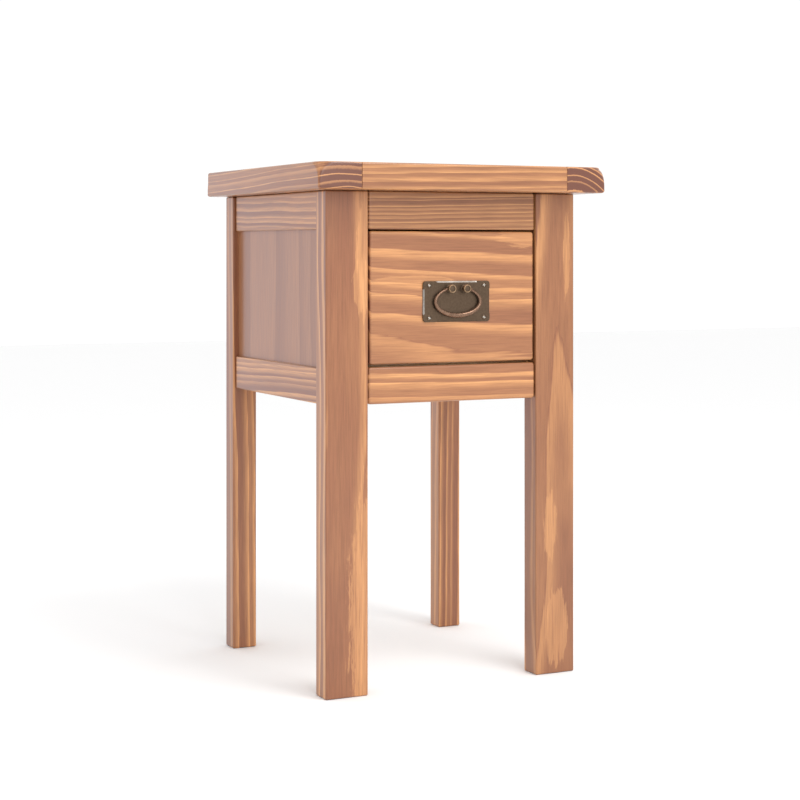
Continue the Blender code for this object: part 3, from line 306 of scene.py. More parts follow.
def pine(name, box, grain, pith, spacing, taper=0.02, waviness=0.012, softness=0.35, light=1.0,
         colours=STAINED, coat=0.55, patches=()):
    """Lacquered pine for one board.

    The pith is given from the middle of the board's box, so each board is a different cut of the log:
    a pith far off in the plane of a face gives straight stripes there, and one behind it arches.
    Each patch is a centre and a half size: a pale ragged blotch where the saw skimmed a ring."""
    material, nodes, shader = new_material(name)
    turn = GRAIN_TURN[grain].to_matrix()
    middle = (Vector(box[0]) + Vector(box[1])) / 2 + Vector(pith)
    place = nodes.add("TexCoord")
    mapping = nodes.add("Mapping", {"Vector": place.outputs["Object"], "Rotation": GRAIN_TURN[grain],
                                    "Location": -(turn @ middle)})
    rings = nodes.add("Group", node_tree=RINGS)
    nodes.put(rings.inputs["Place"], mapping.outputs[0])
    for key, value in (("Spacing", spacing), ("Taper", taper), ("Waviness", waviness),
                       ("Softness", softness)):
        rings.inputs[key].default_value = value
    early, late, dark_end = colours
    late_wood, tone, fibre, streak = (rings.outputs[key] for key in ("Late", "Tone", "Fibre", "Streak"))
    cloud = nodes.stretched(mapping.outputs[0], (14, 14, 3), detail=3.0)
    body = nodes.mix(nodes.remap(tone, 0.0, 1.0, 0.0, 0.30), early, late)
    body = nodes.mix(nodes.remap(cloud, 0.35, 0.7, 0.0, 0.22), body, late)
    body = nodes.mix(late_wood, body, late)
    if patches:
        fray = nodes.stretched(mapping.outputs[0], (330, 330, 28), detail=4.0, rough=0.7)
        fray = nodes.remap(fray, 0.3, 0.7, -0.28, 0.28, smooth=False)
    for patch_middle, patch_size in patches:
        scaled = nodes.vector("DIVIDE", nodes.vector("SUBTRACT", place.outputs["Object"], patch_middle),
                              patch_size)
        reach = nodes.add("VectorMath", {0: scaled}, operation="LENGTH").outputs["Value"]
        inside = nodes.remap(nodes.math("ADD", reach, fray), 0.88, 1.0, 0.48, 0.0)
        body = nodes.mix(inside, body, late)
    body = nodes.mix(nodes.remap(streak, 0.42, 0.72, 0.0, 0.38), body, early)
    fleck = nodes.remap(fibre, 0.3, 0.7, 0.86, 1.10)
    body = nodes.mix(1.0, body, nodes.add("CombineColor", {0: fleck, 1: fleck, 2: fleck}).outputs[0],
                     blend="MULTIPLY")
    facing = nodes.add("VectorMath", {0: place.outputs["Normal"], 1: GRAIN_LINE[grain]},
                       operation="DOT_PRODUCT").outputs["Value"]
    end_grain = nodes.remap(nodes.math("ABSOLUTE", facing), 0.55, 0.92)
    end_body = nodes.mix(nodes.math("MULTIPLY", late_wood, 0.85), dark_end, late)
    body = nodes.mix(end_grain, body, end_body)
    # light scales the whole colour of the board; on the upper front rail it is painted shade.
    bright = nodes.add("CombineColor", {0: light, 1: light, 2: light}).outputs[0]
    body = nodes.mix(1.0, body, bright, blend="MULTIPLY")
    nodes.put(shader.inputs["Base Color"], body)
    nodes.put(shader.inputs["Roughness"], nodes.remap(fibre, 0.2, 0.8, 0.30, 0.42))
    relief = nodes.math("MULTIPLY_ADD", late_wood, 0.6, nodes.math("MULTIPLY", fibre, 0.5))
    bump = nodes.add("Bump", {"Height": relief, "Strength": 0.35, "Distance": 0.00012})
    nodes.put(shader.inputs["Normal"], bump.outputs[0])
    shader.inputs["Coat Weight"].default_value = coat
    shader.inputs["Coat Roughness"].default_value = 0.22
    shader.inputs["Specular IOR Level"].default_value = 0.30
    shader.inputs["Coat IOR"].default_value = 1.5
    return material


def give(piece, material):
    """The piece takes this one material."""
    piece.data.materials.clear()
    piece.data.materials.append(material)
    return piece


def give_by_face(piece, materials, choice):
    """Each face takes the material whose number stands in choice; faces past its end take the first."""
    piece.data.materials.clear()
    for material in materials:
        piece.data.materials.append(material)
    numbers = np.zeros(len(piece.data.polygons), dtype=np.int32)
    numbers[:len(choice)] = choice
    piece.data.polygons.foreach_set("material_index", numbers)
    return piece


# Where the boards show

VISIBLE = {}


def show_between(node, axis, low, high):
    """The visible body of a rail runs between its shoulders; its tenons are inside the legs."""
    corners = [list(corner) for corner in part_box(node)]
    corners[0][axis] = low
    corners[1][axis] = high
    VISIBLE[node] = corners


leg_box = {name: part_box(name) for name in frame["nodes"] if name.startswith("leg_")}
SHOULDER_GAP = 0.0008
inner_front = leg_box["leg_front_right"][0].x - SHOULDER_GAP
inner_rear = leg_box["leg_rear_right"][0].x - SHOULDER_GAP
behind_front = leg_box["leg_front_left"][1].y + SHOULDER_GAP
before_rear = leg_box["leg_rear_left"][0].y - SHOULDER_GAP
for level in ("upper", "lower"):
    show_between(f"front_rail_{level}", 0, -inner_front, inner_front)
    show_between(f"back_rail_{level}", 0, -inner_rear, inner_rear)
    for side in ("left", "right"):
        show_between(f"side_rail_{level}_{side}", 1, behind_front, before_rear)


LEG_ROUND = 0.002
RAIL_ROUND = 0.002
FRONT_ROUND = 0.0035
END_ROUND = 0.004

# Pale patches on the faces in front: the centre and half size of each
PATCHES = {
    "leg_front_left": (((-0.1215, -0.157, 0.540), (0.013, 0.02, 0.085)),
                       ((-0.1260, -0.157, 0.500), (0.014, 0.02, 0.035)),
                       ((-0.1100, -0.157, 0.100), (0.036, 0.02, 0.170))),
    "leg_front_right": (((0.1400, -0.157, 0.190), (0.010, 0.02, 0.045)),
                        ((0.1480, -0.157, 0.060), (0.018, 0.02, 0.050)),
                        ((0.1640, -0.157, 0.540), (0.005, 0.02, 0.060))),
    "drawer_front": (((0.1000, -0.155, 0.5640), (0.040, 0.02, 0.017)),
                     ((-0.0550, -0.155, 0.5060), (0.060, 0.02, 0.006))),
}

# Each board: grain, pith from the board's middle, ring spacing, what else differs in the wood,
# the radius of its long edges and the radius round its ends
BOARDS = {
    "leg_front_left": ("Z", (-0.044, 0.054, 0.6), 0.0200, dict(taper=0.010, waviness=0.042, softness=0.06),
                       LEG_ROUND, LEG_ROUND),
    "leg_front_right": ("Z", (0.012, 0.052, 0.2), 0.0150,
                        dict(taper=0.026, waviness=0.030, softness=0.06, light=0.92),
                        LEG_ROUND, LEG_ROUND),
    "leg_rear_left": ("Z", (-0.05, 0.03, 0.4), 0.0100, dict(taper=0.01, softness=0.15),
                      LEG_ROUND, LEG_ROUND),
    "leg_rear_right": ("Z", (0.05, -0.03, 1.4), 0.0080, dict(taper=0.01, softness=0.15),
                       LEG_ROUND, LEG_ROUND),
    "side_rail_upper_left": ("Y", (-0.03, 0.3, 0.075), 0.0075, dict(waviness=0.02), RAIL_ROUND, END_ROUND),
    "side_rail_lower_left": ("Y", (-0.03, 1.1, -0.060), 0.0080, dict(waviness=0.02), RAIL_ROUND, END_ROUND),
    "side_rail_upper_right": ("Y", (0.03, 0.5, 0.060), 0.0070, dict(waviness=0.02), RAIL_ROUND, END_ROUND),
    "side_rail_lower_right": ("Y", (0.03, 1.7, 0.070), 0.0075, dict(waviness=0.02), RAIL_ROUND, END_ROUND),
    # The upper front rail's light=0.80 darkens its colour: painted shade under the top's overhang.
    "front_rail_upper": ("X", (0.7, -0.01, 0.100), 0.0052, dict(waviness=0.006, light=0.80),
                         RAIL_ROUND, END_ROUND),
    "front_rail_lower": ("X", (2.1, -0.04, -0.060), 0.0130, dict(waviness=0.012, softness=0.2),
                         FRONT_ROUND, END_ROUND),
    "back_rail_upper": ("X", (1.3, 0.03, 0.060), 0.0070, {}, RAIL_ROUND, RAIL_ROUND),
    "back_rail_lower": ("X", (0.2, 0.03, -0.060), 0.0070, {}, RAIL_ROUND, RAIL_ROUND),
    "drawer_front": ("X", (0.4, 0.070, -0.085), 0.0165, dict(taper=0.03, waviness=0.034, softness=0.15),
                     FRONT_ROUND, END_ROUND),
}


def make_boards():
    """A new surface for each leg, each rail and the drawer front, every one a cut of its own."""
    for node, (grain, pith, spacing, more, radius, end_radius) in BOARDS.items():
        body = "drawer" if node.startswith("drawer") else "frame"
        piece = eased_board(node + "_finished", node, grain, [radius] * 4, end_radius, body)
        box = VISIBLE.get(node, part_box(node))
        give(piece, pine(node + "_pine", box, grain, pith, spacing, patches=PATCHES.get(node, ()), **more))


def make_panels():
    """Side panels keep their frame solids and take upright grain."""
    for side, sign in (("left", -1), ("right", 1)):
        node = f"side_panel_{side}"
        give(frame["nodes"][node], pine(node + "_pine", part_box(node), "Z", (sign * 0.16, 0.05, 0.7),
                                        0.030, taper=0.01, waviness=0.03, softness=0.6, light=0.88,
                                        colours=PANEL))
    give(frame["nodes"]["back_panel"], plywood("back_panel_ply", "Z"))


def plywood(name, grain):
    """Rotary-cut veneer: broad soft figure along the grain, with fine open pores."""
    material, nodes, shader = new_material(name)
    place = nodes.add("TexCoord").outputs["Object"]
    turn = nodes.add("Mapping", {"Vector": place, "Rotation": GRAIN_TURN[grain]}).outputs[0]
    figure = nodes.stretched(turn, (18, 18, 2.5), detail=4.0)
    lines = nodes.stretched(turn, (260, 260, 7), detail=2.0)
    pores = nodes.stretched(turn, (1900, 1900, 60), detail=1.0)
    body = nodes.mix(nodes.remap(figure, 0.35, 0.65), colour(0.55, 0.36, 0.20), colour(0.70, 0.50, 0.31))
    body = nodes.mix(nodes.remap(lines, 0.4, 0.7, 0.0, 0.35), body, colour(0.44, 0.27, 0.14))
    body = nodes.mix(nodes.remap(pores, 0.62, 0.72, 0.0, 0.4), body, colour(0.25, 0.14, 0.07))
    nodes.put(shader.inputs["Base Color"], body)
    nodes.put(shader.inputs["Roughness"], nodes.remap(figure, 0.3, 0.7, 0.5, 0.65))
    bump = nodes.add("Bump", {"Height": pores, "Strength": 0.3, "Distance": 0.0001})
    nodes.put(shader.inputs["Normal"], bump.outputs[0])
    return material


def make_hidden_woodwork():
    """Runners, kickers, cleats, bearer and drawer box: planed pine under a thin coat."""
    lengthwise = {"drawer_bearer": "X", "drawer_back": "X"}
    for count, node in enumerate(sorted(frame["nodes"])):
        if not node.startswith(("drawer_", "top_cleat")) or node in ("drawer_front", "drawer_bottom"):
            continue
        grain = lengthwise.get(node, "Y")
        pith = (0.03, 0.45 * count, 0.05) if grain == "Y" else (0.45 * count, 0.03, 0.05)
        give(frame["nodes"][node], pine(node + "_pine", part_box(node), grain, pith, 0.006,
                                        colours=PLAIN, coat=0.15))
    give(frame["nodes"]["drawer_bottom"], plywood("drawer_bottom_ply", "Y"))


# Top

TOP_ROUND = 0.003
TOP_EASE = 0.0005
TOP_JOINT = 0.0003          # gap between the long boards and the cross-grain ends
CORNER_LOW = 0.003
CORNER_HIGH = 0.020
CORNER_REAR = 0.005
CORNER_BALL = 0.85
CORNER_POINTS = 25
EDGE_POINTS = 9
SIDE_LEVELS = 25
TOP_END_PITH = {"left": (0.010, 0.4, -0.16), "right": (-0.018, 0.8, -0.055)}


def make_top_boards():
    """Three long boards; only the outer long edges are rounded, the joints are just eased."""
    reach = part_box("top_end_right")[0].x - TOP_JOINT
    cuts = {"top_board_front": ((0.9, -0.02, 0.060), 0.0064,
                                (TOP_EASE, TOP_EASE, TOP_ROUND, TOP_ROUND)),
            "top_board_middle": ((1.9, 0.03, -0.090), 0.0070, (TOP_EASE,) * 4),
            "top_board_rear": ((0.1, -0.03, 0.070), 0.0066,
                               (TOP_ROUND, TOP_ROUND, TOP_EASE, TOP_EASE))}
    for node, (pith, spacing, (back_low, back_high, front_high, front_low)) in cuts.items():
        show_between(node, 0, -reach, reach)
        radii = [back_high, front_high, front_low, back_low]
        piece = eased_board(node + "_finished", node, "X", radii, TOP_EASE, "frame")
        give(piece, pine(node + "_pine", VISIBLE[node], "X", pith, spacing, waviness=0.009, light=0.9))


def top_end_surface(inner, outer, half, low, high):
    """Points of a cross-grain end: plan outlines stacked from the underside to the upper face.

    The outline's two outer corners are quarter circles whose radius grows with height, from
    CORNER_LOW to CORNER_HIGH (CORNER_REAR at most behind), as 1 - sqrt(1 - CORNER_BALL s^3) for s
    from 0 to 1, which rounds the corners off like part of a ball; a quarter round finishes the
    lower and upper edges."""
    arc = np.linspace(0, pi / 2, CORNER_POINTS)
    turn = np.linspace(0, pi / 2, EDGE_POINTS)
    share = np.linspace(0, 1, SIDE_LEVELS)[1:]
    growth = (1 - np.sqrt(1 - CORNER_BALL * share ** 3)) / (1 - np.sqrt(1 - CORNER_BALL))
    radius = CORNER_LOW + (CORNER_HIGH - CORNER_LOW) * growth
    body = high - low - 2 * TOP_ROUND
    level_z = np.concatenate([low + TOP_ROUND * (1 - np.cos(turn)), low + TOP_ROUND + body * share,
                              high - TOP_ROUND * (1 - np.sin(turn[1:]))])
    level_r = np.concatenate([np.full(len(turn), CORNER_LOW), radius,
                              np.full(len(turn) - 1, radius[-1])])
    inset = np.concatenate([TOP_ROUND * (1 - np.sin(turn)), np.zeros(len(share)),
                            TOP_ROUND * (1 - np.cos(turn[1:]))])
    rings = []
    for z, r, e in zip(level_z, level_r, inset):
        edge = outer - e
        side = half - e
        bend = max(r - e, TOP_ROUND)
        rear = max(min(r, CORNER_REAR) - e, TOP_ROUND)
        front = np.stack([edge - bend + bend * np.sin(arc), -side + bend - bend * np.cos(arc)], 1)
        back = np.stack([edge - rear + rear * np.cos(arc), side - rear + rear * np.sin(arc)], 1)
        joint = np.array([[inner + TOP_EASE, side], [inner, side - TOP_EASE], [inner, -side + TOP_EASE],
                          [inner + TOP_EASE, -side]])
        plan = np.concatenate([front, back, joint])
        rings.append(np.column_stack([plan, np.full(len(plan), z)]))
    return np.array(rings)


def make_top_ends():
    """The two cross-grain ends; the left one is the right one's outline mirrored and reversed."""
    for side, sign in (("left", -1), ("right", 1)):
        node = f"top_end_{side}"
        low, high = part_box(node)
        inner = low.x if sign > 0 else -high.x
        rings = top_end_surface(inner, HIGH.x, HIGH.y, low.z, high.z)
        rings[:, :, 0] *= sign
        if sign < 0:
            rings = rings[:, ::-1]
        levels, around = rings.shape[:2]
        piece = finished_mesh(node + "_finished", rings.reshape(-1, 3), capped_faces(levels, around),
                              sharp=radians(28))
        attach(piece, "frame")
        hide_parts(node)
        give(piece, pine(node + "_pine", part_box(node), "Y", TOP_END_PITH[side], 0.0078,
                         waviness=0.016, softness=-0.05))


# Pull

def ride_pull(piece, body, *nodes):
    """A brass piece rides its body and takes the place of its nodes."""
    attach(piece, body)
    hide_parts(*nodes)
    return piece


def antique_brass(name, base, bright, roughness, wear=0.5):
    """Dark patina on cast brass, rubbed bright in patches, with a mottled fine grain."""
    material, nodes, shader = new_material(name)
    place = nodes.add("TexCoord").outputs["Object"]
    mottle = nodes.noise(place, 420.0, 5.0, 0.6)
    grain = nodes.noise(place, 1400.0, 3.0, 0.6)
    rubbed = nodes.remap(nodes.noise(place, 60.0, 4.0), 0.5, 0.75, 0.0, wear)
    body = nodes.mix(nodes.remap(mottle, 0.35, 0.7, 0.0, 0.4), base, bright)
    body = nodes.mix(rubbed, body, bright)
    nodes.put(shader.inputs["Base Color"], body)
    shader.inputs["Metallic"].default_value = 0.85
    nodes.put(shader.inputs["Roughness"], nodes.remap(mottle, 0.3, 0.7, roughness, roughness + 0.14))
    bump = nodes.add("Bump", {"Height": grain, "Strength": 0.12, "Distance": 0.00003})
    nodes.put(shader.inputs["Normal"], bump.outputs[0])
    return material


PLATE_CORNER = 0.004
PLATE_LAND = 0.0004         # small round-over where the chamfers stop
PLATE_CHAMFER = 0.0019
CHAMFER_SHARE = 0.60        # part of each edge that is chamfered
CHAMFER_SLOPE = 0.75        # depth of a chamfer for its width
PLATE_RAMP = 0.0012         # length over which a chamfer runs out
PLATE_SPACING = 0.0012      # between points on the outline
CORNER_STEPS = 12
FLAT_RINGS = (0.93, 0.5, 0.05)


def plate_outline():
    """Anticlockwise outline of the plate from its own middle, many points along every edge."""
    low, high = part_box("pull_backplate")
    width = high.x - low.x
    height = high.z - low.z
    corner = rounded_section((-width / 2, -height / 2), (width / 2, height / 2),
                             [PLATE_CORNER] * 4, CORNER_STEPS)[0]
    closed = np.vstack([corner, corner[:1]])
    points = []
    for start, end in zip(closed[:-1], closed[1:]):
        count = max(1, int(np.linalg.norm(end - start) / PLATE_SPACING))
        share = np.linspace(0, 1, count, endpoint=False)[:, None]
        points.append(start + (end - start) * share)
    return np.concatenate(points), width, height


def make_backplate():
    """Pressed plate: the outline rises, then slopes in by a chamfer that stops short of each corner.

    The chamfer's width is PLATE_CHAMFER where a point lies within CHAMFER_SHARE of its edge's half
    length from the middle, and PLATE_LAND elsewhere, with a short ramp between them.  The face is
    filled by smaller copies of its outline, and the chamfers above the rising diagonal take a pale
    painted highlight."""
    low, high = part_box("pull_backplate")
    outline, width, height = plate_outline()
    along = np.where(np.abs(outline[:, 0]) * height > np.abs(outline[:, 1]) * width,
                     np.abs(outline[:, 1]) - height / 2 * CHAMFER_SHARE,
                     np.abs(outline[:, 0]) - width / 2 * CHAMFER_SHARE)
    share = 1 - np.clip(along / PLATE_RAMP, 0, 1)
    chamfer = PLATE_LAND + (PLATE_CHAMFER - PLATE_LAND) * share
    limit = np.array([width / 2, height / 2])
    shrink = np.clip(outline, -(limit - chamfer[:, None]), limit - chamfer[:, None])
    thick = high.y - low.y
    drop = thick - chamfer * CHAMFER_SLOPE
    layers = [(outline, np.zeros(len(outline))), (outline, drop), (shrink, np.full(len(outline), thick))]
    for scale in FLAT_RINGS:
        layers.append((shrink * scale, np.full(len(outline), thick)))
    middle = (low + high) / 2
    rings = []
    for flat, rise in layers:
        rings.append(np.column_stack([middle.x + flat[:, 0], high.y - rise, middle.z + flat[:, 1]]))
    piece = finished_mesh("pull_backplate_finished", np.concatenate(rings),
                          capped_faces(len(rings), len(outline)), sharp=radians(15))
    # The chamfers above the rising diagonal take pale brass: a painted highlight.
    painted_edge_highlight = np.zeros((len(rings) - 1, len(outline)), bool)
    painted_edge_highlight[1] = (share > 0.5) & (outline[:, 1] - outline[:, 0] * height / width > 0)
    give_by_face(piece, (BRASS_PLATE, BRASS_PAINTED_HIGHLIGHT), painted_edge_highlight.ravel())
    return ride_pull(piece, "drawer", "pull_backplate")


TURN_STEPS = 64


def turned(name, profile, centre):
    """Surface of revolution about Y: (radius, out) pairs swept through a full turn, out along -Y."""
    angle = np.linspace(0, 2 * pi, TURN_STEPS, endpoint=False)
    rings = []
    for radius, out in profile:
        rings.append(np.column_stack([centre[0] + radius * np.cos(angle),
                                      np.full(TURN_STEPS, centre[1] - out),
                                      centre[2] + radius * np.sin(angle)]))
    return finished_mesh(name, np.concatenate(rings), capped_faces(len(rings), TURN_STEPS),
                         sharp=radians(35))


def quarter(radius_from, out_from, radius_to, out_to, steps=5):
    """Points of a quarter ellipse between two (radius, out) points, leaving along out."""
    turn = np.linspace(0, pi / 2, steps + 1)
    return [(radius_to + (radius_from - radius_to) * cos(t), out_from + (out_to - out_from) * sin(t))
            for t in turn]


# A post, outwards from the plate: radii, then places measured from the plate or down from the head
POST_FOOT = 0.0048
POST_NECK = 0.0034
POST_TIP = 0.0002           # the smallest ring, under a cap
POST_SINK = 0.0006          # of the foot into the plate, and of its edge out of it
POST_FILLET_END = 0.0014
POST_FLARE_START = 0.0048
POST_FLARE_END = 0.0036
POST_BEAD_WIDTH = 0.0007
POST_BEAD_DEPTH = 0.0012
POST_DISH_RINGS = ((0.0011, 0), (0.0015, 0.0003), (0.0018, 0.0009))  # in from the rim, down
POST_DISH_FLOOR = (0.4, 0.0007)     # share of the head's radius, down
POST_DISH_CENTRE = 0.0006


def make_posts():
    """Turned posts: foot ring, waisted neck and a dished head with a raised bead round it."""
    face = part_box("pull_backplate")[0].y
    for side in ("left", "right"):
        node = f"pull_post_{side}"
        low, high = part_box(node)
        middle = (low + high) / 2
        head = face - low.y
        radius = (high.x - low.x) / 2
        foot = [(POST_TIP, -POST_SINK), (POST_FOOT, -POST_SINK), (POST_FOOT, POST_SINK)]
        neck = quarter(POST_FOOT, POST_SINK, POST_NECK, POST_FILLET_END)
        neck += quarter(POST_NECK, head - POST_FLARE_START, radius, head - POST_FLARE_END)
        bead = quarter(radius, head - POST_BEAD_DEPTH, radius - POST_BEAD_WIDTH, head)
        dish = [(radius - inward, head - down) for inward, down in POST_DISH_RINGS]
        dish += [(radius * POST_DISH_FLOOR[0], head - POST_DISH_FLOOR[1]),
                 (POST_TIP, head - POST_DISH_CENTRE)]
        piece = turned(node + "_finished", foot + neck + bead + dish, (middle.x, face, middle.z))
        levels = len(foot) + len(neck) + len(bead) + len(dish)
        step = np.arange(levels - 1)
        # The flare and bead round each head take brighter brass: rubbed wear and a painted highlight.
        rubbed = (step >= len(foot) + len(neck) - 3) & (step <= len(foot) + len(neck) + len(bead))
        give_by_face(ride_pull(piece, "drawer", node), (BRASS_PLATE, BRASS_RIM_RUBBED_AND_HIGHLIT),
                     np.repeat(rubbed, TURN_STEPS))


# A screw head, in shares of its radius or of its dome's height
SCREW_RINGS = 26
SCREW_AROUND = 96
SCREW_INNER = 0.02          # the smallest ring, under a cap
DOME_FALL = 0.75
RECESS_HALF = 0.13
RECESS_REACH = 0.62
RECESS_DEPTH = 0.55
SCREW_SINK = 0.0004         # of the rim into the plate, in metres
SCREW_TURN = 45             # in degrees, and one step more for each screw
SCREW_TURN_STEP = 11


def make_plate_screws():
    """Screw heads: a low dome with a cross recess that deepens towards the middle.

    At radius q the height is dome * (1 - DOME_FALL q^2), less dome * RECESS_DEPTH * (1 - q / 2) in
    the cross, where one of |u| and |v| is under RECESS_HALF and the other under RECESS_REACH."""
    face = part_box("pull_backplate")[0].y
    radius_steps = np.linspace(SCREW_INNER, 1, SCREW_RINGS)
    angle = np.linspace(0, 2 * pi, SCREW_AROUND, endpoint=False)
    for count in range(1, 5):
        node = f"pull_screw_{count}"
        low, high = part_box(node)
        middle = (low + high) / 2
        radius = (high.x - low.x) / 2
        dome = face - low.y
        q, a = np.meshgrid(radius_steps, angle, indexing="ij")
        turn = radians(SCREW_TURN + SCREW_TURN_STEP * count)
        x = q * np.cos(a)
        z = q * np.sin(a)
        u = np.abs(x * cos(turn) + z * sin(turn))
        v = np.abs(-x * sin(turn) + z * cos(turn))
        in_slot = np.maximum((u < RECESS_HALF) * (v < RECESS_REACH), (v < RECESS_HALF) * (u < RECESS_REACH))
        height = dome * (1 - DOME_FALL * q ** 2) - in_slot * dome * RECESS_DEPTH * (1 - 0.5 * q)
        rings = np.stack([middle.x + radius * x, face - height, middle.z + radius * z], 2)[::-1]
        rim = rings[:1].copy()
        rim[:, :, 1] = face + SCREW_SINK
        points = np.concatenate([rim, rings]).reshape(-1, 3)
        piece = finished_mesh(node + "_finished", points, capped_faces(len(rings) + 1, len(angle)),
                              sharp=radians(25))
        # Faces in the cross recess take near-white brass: a painted highlight.
        cut = np.concatenate([np.zeros((1, len(angle)), bool), in_slot[::-1][1:] > 0])
        give_by_face(ride_pull(piece, "drawer", node), (BRASS_PLATE, SCREW_RECESS_HIGHLIGHT), cut.ravel())


LOOP_POINTS = 90
ARM_POINTS = 40
BAIL_AROUND = 24
BAIL_SPREAD = radians(137)  # of the ellipse to either side of its lowest point
BAIL_CENTRE = 0.479         # of the fall, from the pins down to the ellipse's centre
BAIL_OUTERMOST = 0.75       # of the bar's full radius, about what is left where the loop is widest
BAIL_THINNING = 0.44        # of the bar's full radius, lost from the lowest point to the arms
BAIL_THINNING_POWER = 1.6
BAIL_TIP = 0.0008           # from the post's middle to the end of the arm
PIN_RADIUS = 0.0014
BAIL_BEAD_PLACE = 0.0078    # from the post's middle
BAIL_BEAD_HALF = 0.00075
BAIL_BEAD_RISE = 0.0009
BEAD_REACH = 12             # points at the loop's end that the bead can reach


def bail_path():
    """Centre line and radius of the bail from pin to pin, about the swing axis.

    The loop is an ellipse, x = A sin t and z = -c - B cos t for t to either side of its lowest point;
    a quadratic curve then carries each arm level into its post.  The radius falls from the middle of
    the loop to the arms, with a bead just outside each post."""
    low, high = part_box("pull_bail")
    hinge = next(joint for joint in frame["joints"] if joint["name"] == "bail_swing")["pos_m"]
    posts = [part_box(f"pull_post_{side}") for side in ("left", "right")]
    half_gap = (posts[1][0].x + posts[1][1].x - posts[0][0].x - posts[0][1].x) / 4
    thick = (high.y - low.y) / 2
    reach = (high.x - low.x) / 2 - thick * BAIL_OUTERMOST
    fall = hinge[2] - low.z - thick
    centre_drop = fall * BAIL_CENTRE
    height = fall - centre_drop
    t = np.linspace(0, BAIL_SPREAD, LOOP_POINTS)
    x = reach * np.sin(t)
    z = -centre_drop - height * np.cos(t)
    s = np.linspace(0, 1, ARM_POINTS)[1:]
    slope = height * sin(BAIL_SPREAD) / (reach * cos(BAIL_SPREAD))
    knee = x[-1] - z[-1] / slope
    tip = half_gap + BAIL_TIP
    end_x = (1 - s) ** 2 * x[-1] + 2 * s * (1 - s) * knee + s ** 2 * tip
    end_z = (1 - s) ** 2 * z[-1]
    x = np.concatenate([x, end_x])
    z = np.concatenate([z, end_z])
    run = np.concatenate([t / BAIL_SPREAD, np.ones(len(s))])
    radius = thick * (1 - BAIL_THINNING * run ** BAIL_THINNING_POWER)
    bead_at = half_gap + BAIL_BEAD_PLACE
    arm = np.arange(len(x)) >= len(t) - BEAD_REACH
    bead = np.exp(-((x - bead_at) / BAIL_BEAD_HALF) ** 4) * arm
    inside = (x < bead_at) * arm
    radius = np.where(inside, np.minimum(radius, PIN_RADIUS), radius) + BAIL_BEAD_RISE * bead
    half_line = np.column_stack([x, np.zeros(len(x)), z])
    line = np.concatenate([(half_line * (-1, 1, 1))[:0:-1], half_line])
    return line + np.array(hinge), np.concatenate([radius[:0:-1], radius])


def make_bail():
    """Round bar swept along the bail's path; its rings stay square to the path.

    Each ring's points are reversed here, and this leaves the faces pointing inwards: the same rings
    in their own order face outwards."""
    line, radius = bail_path()
    run = np.gradient(line, axis=0)
    run /= np.linalg.norm(run, axis=1)[:, None]
    out = np.array([0.0, -1.0, 0.0])
    side = np.cross(run, out)
    angle = np.linspace(0, 2 * pi, BAIL_AROUND, endpoint=False)
    rings = (line[:, None] + radius[:, None, None] * (np.cos(angle)[None, :, None] * out
             + np.sin(angle)[None, :, None] * side[:, None]))
    piece = finished_mesh("pull_bail_finished", rings[:, ::-1].reshape(-1, 3),
                          capped_faces(len(line), len(angle)), sharp=radians(50))
    give(ride_pull(piece, "bail", "pull_bail"), BAIL_BRASS)


# Fasteners

def zinc_steel():
    """Zinc-plated steel: cool grey with faint spangle and rubbed scratches."""
    material, nodes, shader = new_material("zinc_steel_finish")
    place = nodes.add("TexCoord").outputs["Object"]
    spangle = nodes.noise(place, 700.0, 3.0, 0.6)
    scratch = nodes.stretched(place, (300, 4000, 4000), detail=2.0)
    body = nodes.mix(spangle, colour(0.42, 0.43, 0.45), colour(0.68, 0.68, 0.66))
    nodes.put(shader.inputs["Base Color"], body)
    shader.inputs["Metallic"].default_value = 1.0
    nodes.put(shader.inputs["Roughness"], nodes.remap(scratch, 0.3, 0.7, 0.25, 0.45))
    bump = nodes.add("Bump", {"Height": scratch, "Strength": 0.2, "Distance": 0.00005})
    nodes.put(shader.inputs["Normal"], bump.outputs[0])
    return material


def finish_fasteners():
    """Wood screws, washers and nuts keep their frame solids and take zinc-plated steel."""
    steel = zinc_steel()
    for node, piece in frame["nodes"].items():
        if node.startswith(("top_screw", "cleat_screw", "bearer_screw", "pull_nut", "pull_washer")):
            give(piece, steel)


# Studio

CAMERA_PLACE = (-1.050, -2.146, 0.5447)
CAMERA_YAW = radians(-26.1)
CAMERA_LENS = 80.92
CAMERA_SHIFT = -0.188
FLOOR_SIZE = 16
FLOOR_DROP = 0.0002
AIR_STRENGTH = 1.04


def make_camera():
    """A level camera with its lens shifted down, so upright edges stay parallel."""
    camera = bpy.data.cameras.new("camera")
    camera.sensor_width = 36.0
    camera.lens = CAMERA_LENS
    camera.shift_y = CAMERA_SHIFT
    camera.clip_start = 0.05
    placed = bpy.data.objects.new("camera", camera)
    placed.location = CAMERA_PLACE
    placed.rotation_euler = (pi / 2, 0, CAMERA_YAW)
    SCENE.collection.objects.link(placed)
    SCENE.camera = placed


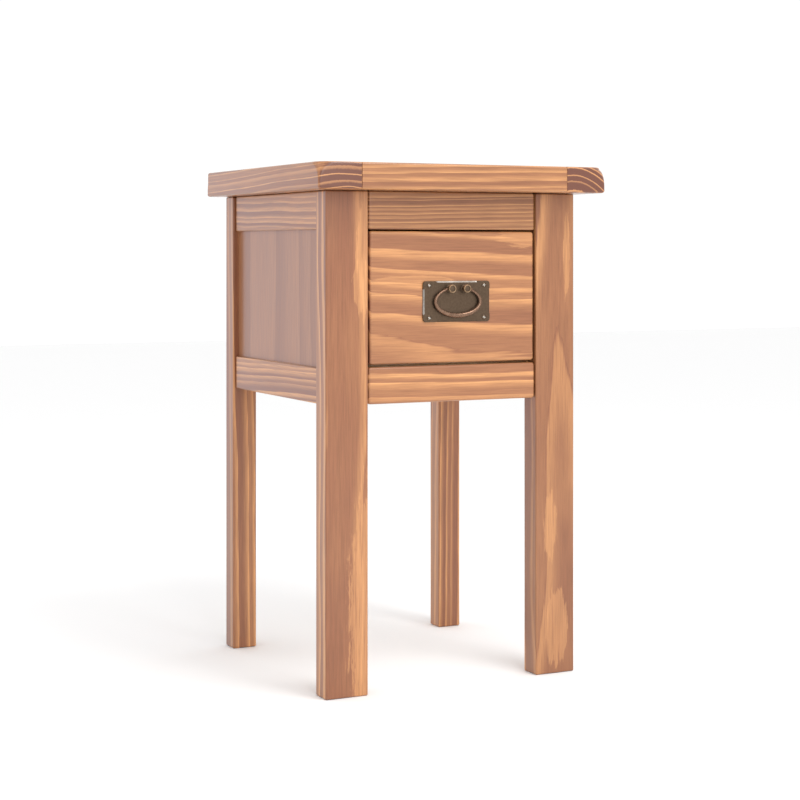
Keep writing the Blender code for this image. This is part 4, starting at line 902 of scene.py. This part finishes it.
def area_light(name, place, aim, size, power, tint=(1, 1, 1)):
    """A square softbox that faces its aim and that the camera does not see."""
    light = bpy.data.lights.new(name, "AREA")
    light.shape = "SQUARE"
    light.size = size
    light.energy = power
    light.color = tint
    placed = bpy.data.objects.new(name, light)
    placed.location = place
    placed.rotation_euler = (Vector(aim) - Vector(place)).to_track_quat("-Z", "Y").to_euler()
    placed.visible_camera = False
    SCENE.collection.objects.link(placed)


def make_studio():
    """Pale paper floor, even white air and three softboxes."""
    bpy.ops.mesh.primitive_plane_add(size=FLOOR_SIZE, location=(0, 0, -FLOOR_DROP))
    floor = bpy.context.object
    floor.name = "studio_floor"
    material, nodes, shader = new_material("studio_floor_paper")
    shader.inputs["Base Color"].default_value = colour(0.93, 0.93, 0.93)
    shader.inputs["Roughness"].default_value = 0.85
    give(floor, material)
    world = bpy.data.worlds.new("studio_air")
    world.use_nodes = True
    background = world.node_tree.nodes["Background"]
    background.inputs["Color"].default_value = colour(1.0, 1.0, 1.0)
    background.inputs["Strength"].default_value = AIR_STRENGTH
    SCENE.world = world
    area_light("key_softbox", (0.1, -3.0, 1.7), (0, 0, 0.35), 2.0, 34)
    area_light("left_rear_softbox", (-1.25, 2.35, 0.5), (-0.2, 0, 0.4), 1.4, 1.6, (0.50, 0.56, 1.0))
    area_light("overhead_softbox", (0.45, -1.1, 2.1), (0, -0.15, 0.4), 0.7, 14)
    SCENE.view_settings.view_transform = "Standard"


# Finishes of the pull

BRASS_PLATE = antique_brass("brass_patina", colour(0.092, 0.060, 0.038), colour(0.150, 0.102, 0.066),
                            0.34, 0.2)
# Pale brass for the plate's upper chamfers: a painted highlight.
BRASS_PAINTED_HIGHLIGHT = antique_brass("brass_edge_painted_highlight", colour(0.26, 0.235, 0.21), colour(0.48, 0.45, 0.41),
                           0.30, 0.5)
# Brighter brass for the post heads' rims: rubbed wear and a painted highlight.
BRASS_RIM_RUBBED_AND_HIGHLIT = antique_brass("brass_rubbed_and_painted_highlight", colour(0.26, 0.165, 0.095), colour(0.52, 0.36, 0.22),
                           0.24, 0.4)
BAIL_BRASS = antique_brass("brass_handled", colour(0.17, 0.098, 0.064), colour(0.34, 0.21, 0.14),
                           0.20, 0.4)
# Near-white brass for the screws' cross recesses: a painted highlight.
SCREW_RECESS_HIGHLIGHT = antique_brass("brass_screw_recess_highlight", colour(0.72, 0.68, 0.62), colour(0.86, 0.82, 0.77),
                            0.25, 0.4)

make_camera()
make_boards()
make_panels()
make_hidden_woodwork()
make_top_boards()
make_top_ends()
make_backplate()
make_posts()
make_plate_screws()
make_bail()
finish_fasteners()
make_studio()
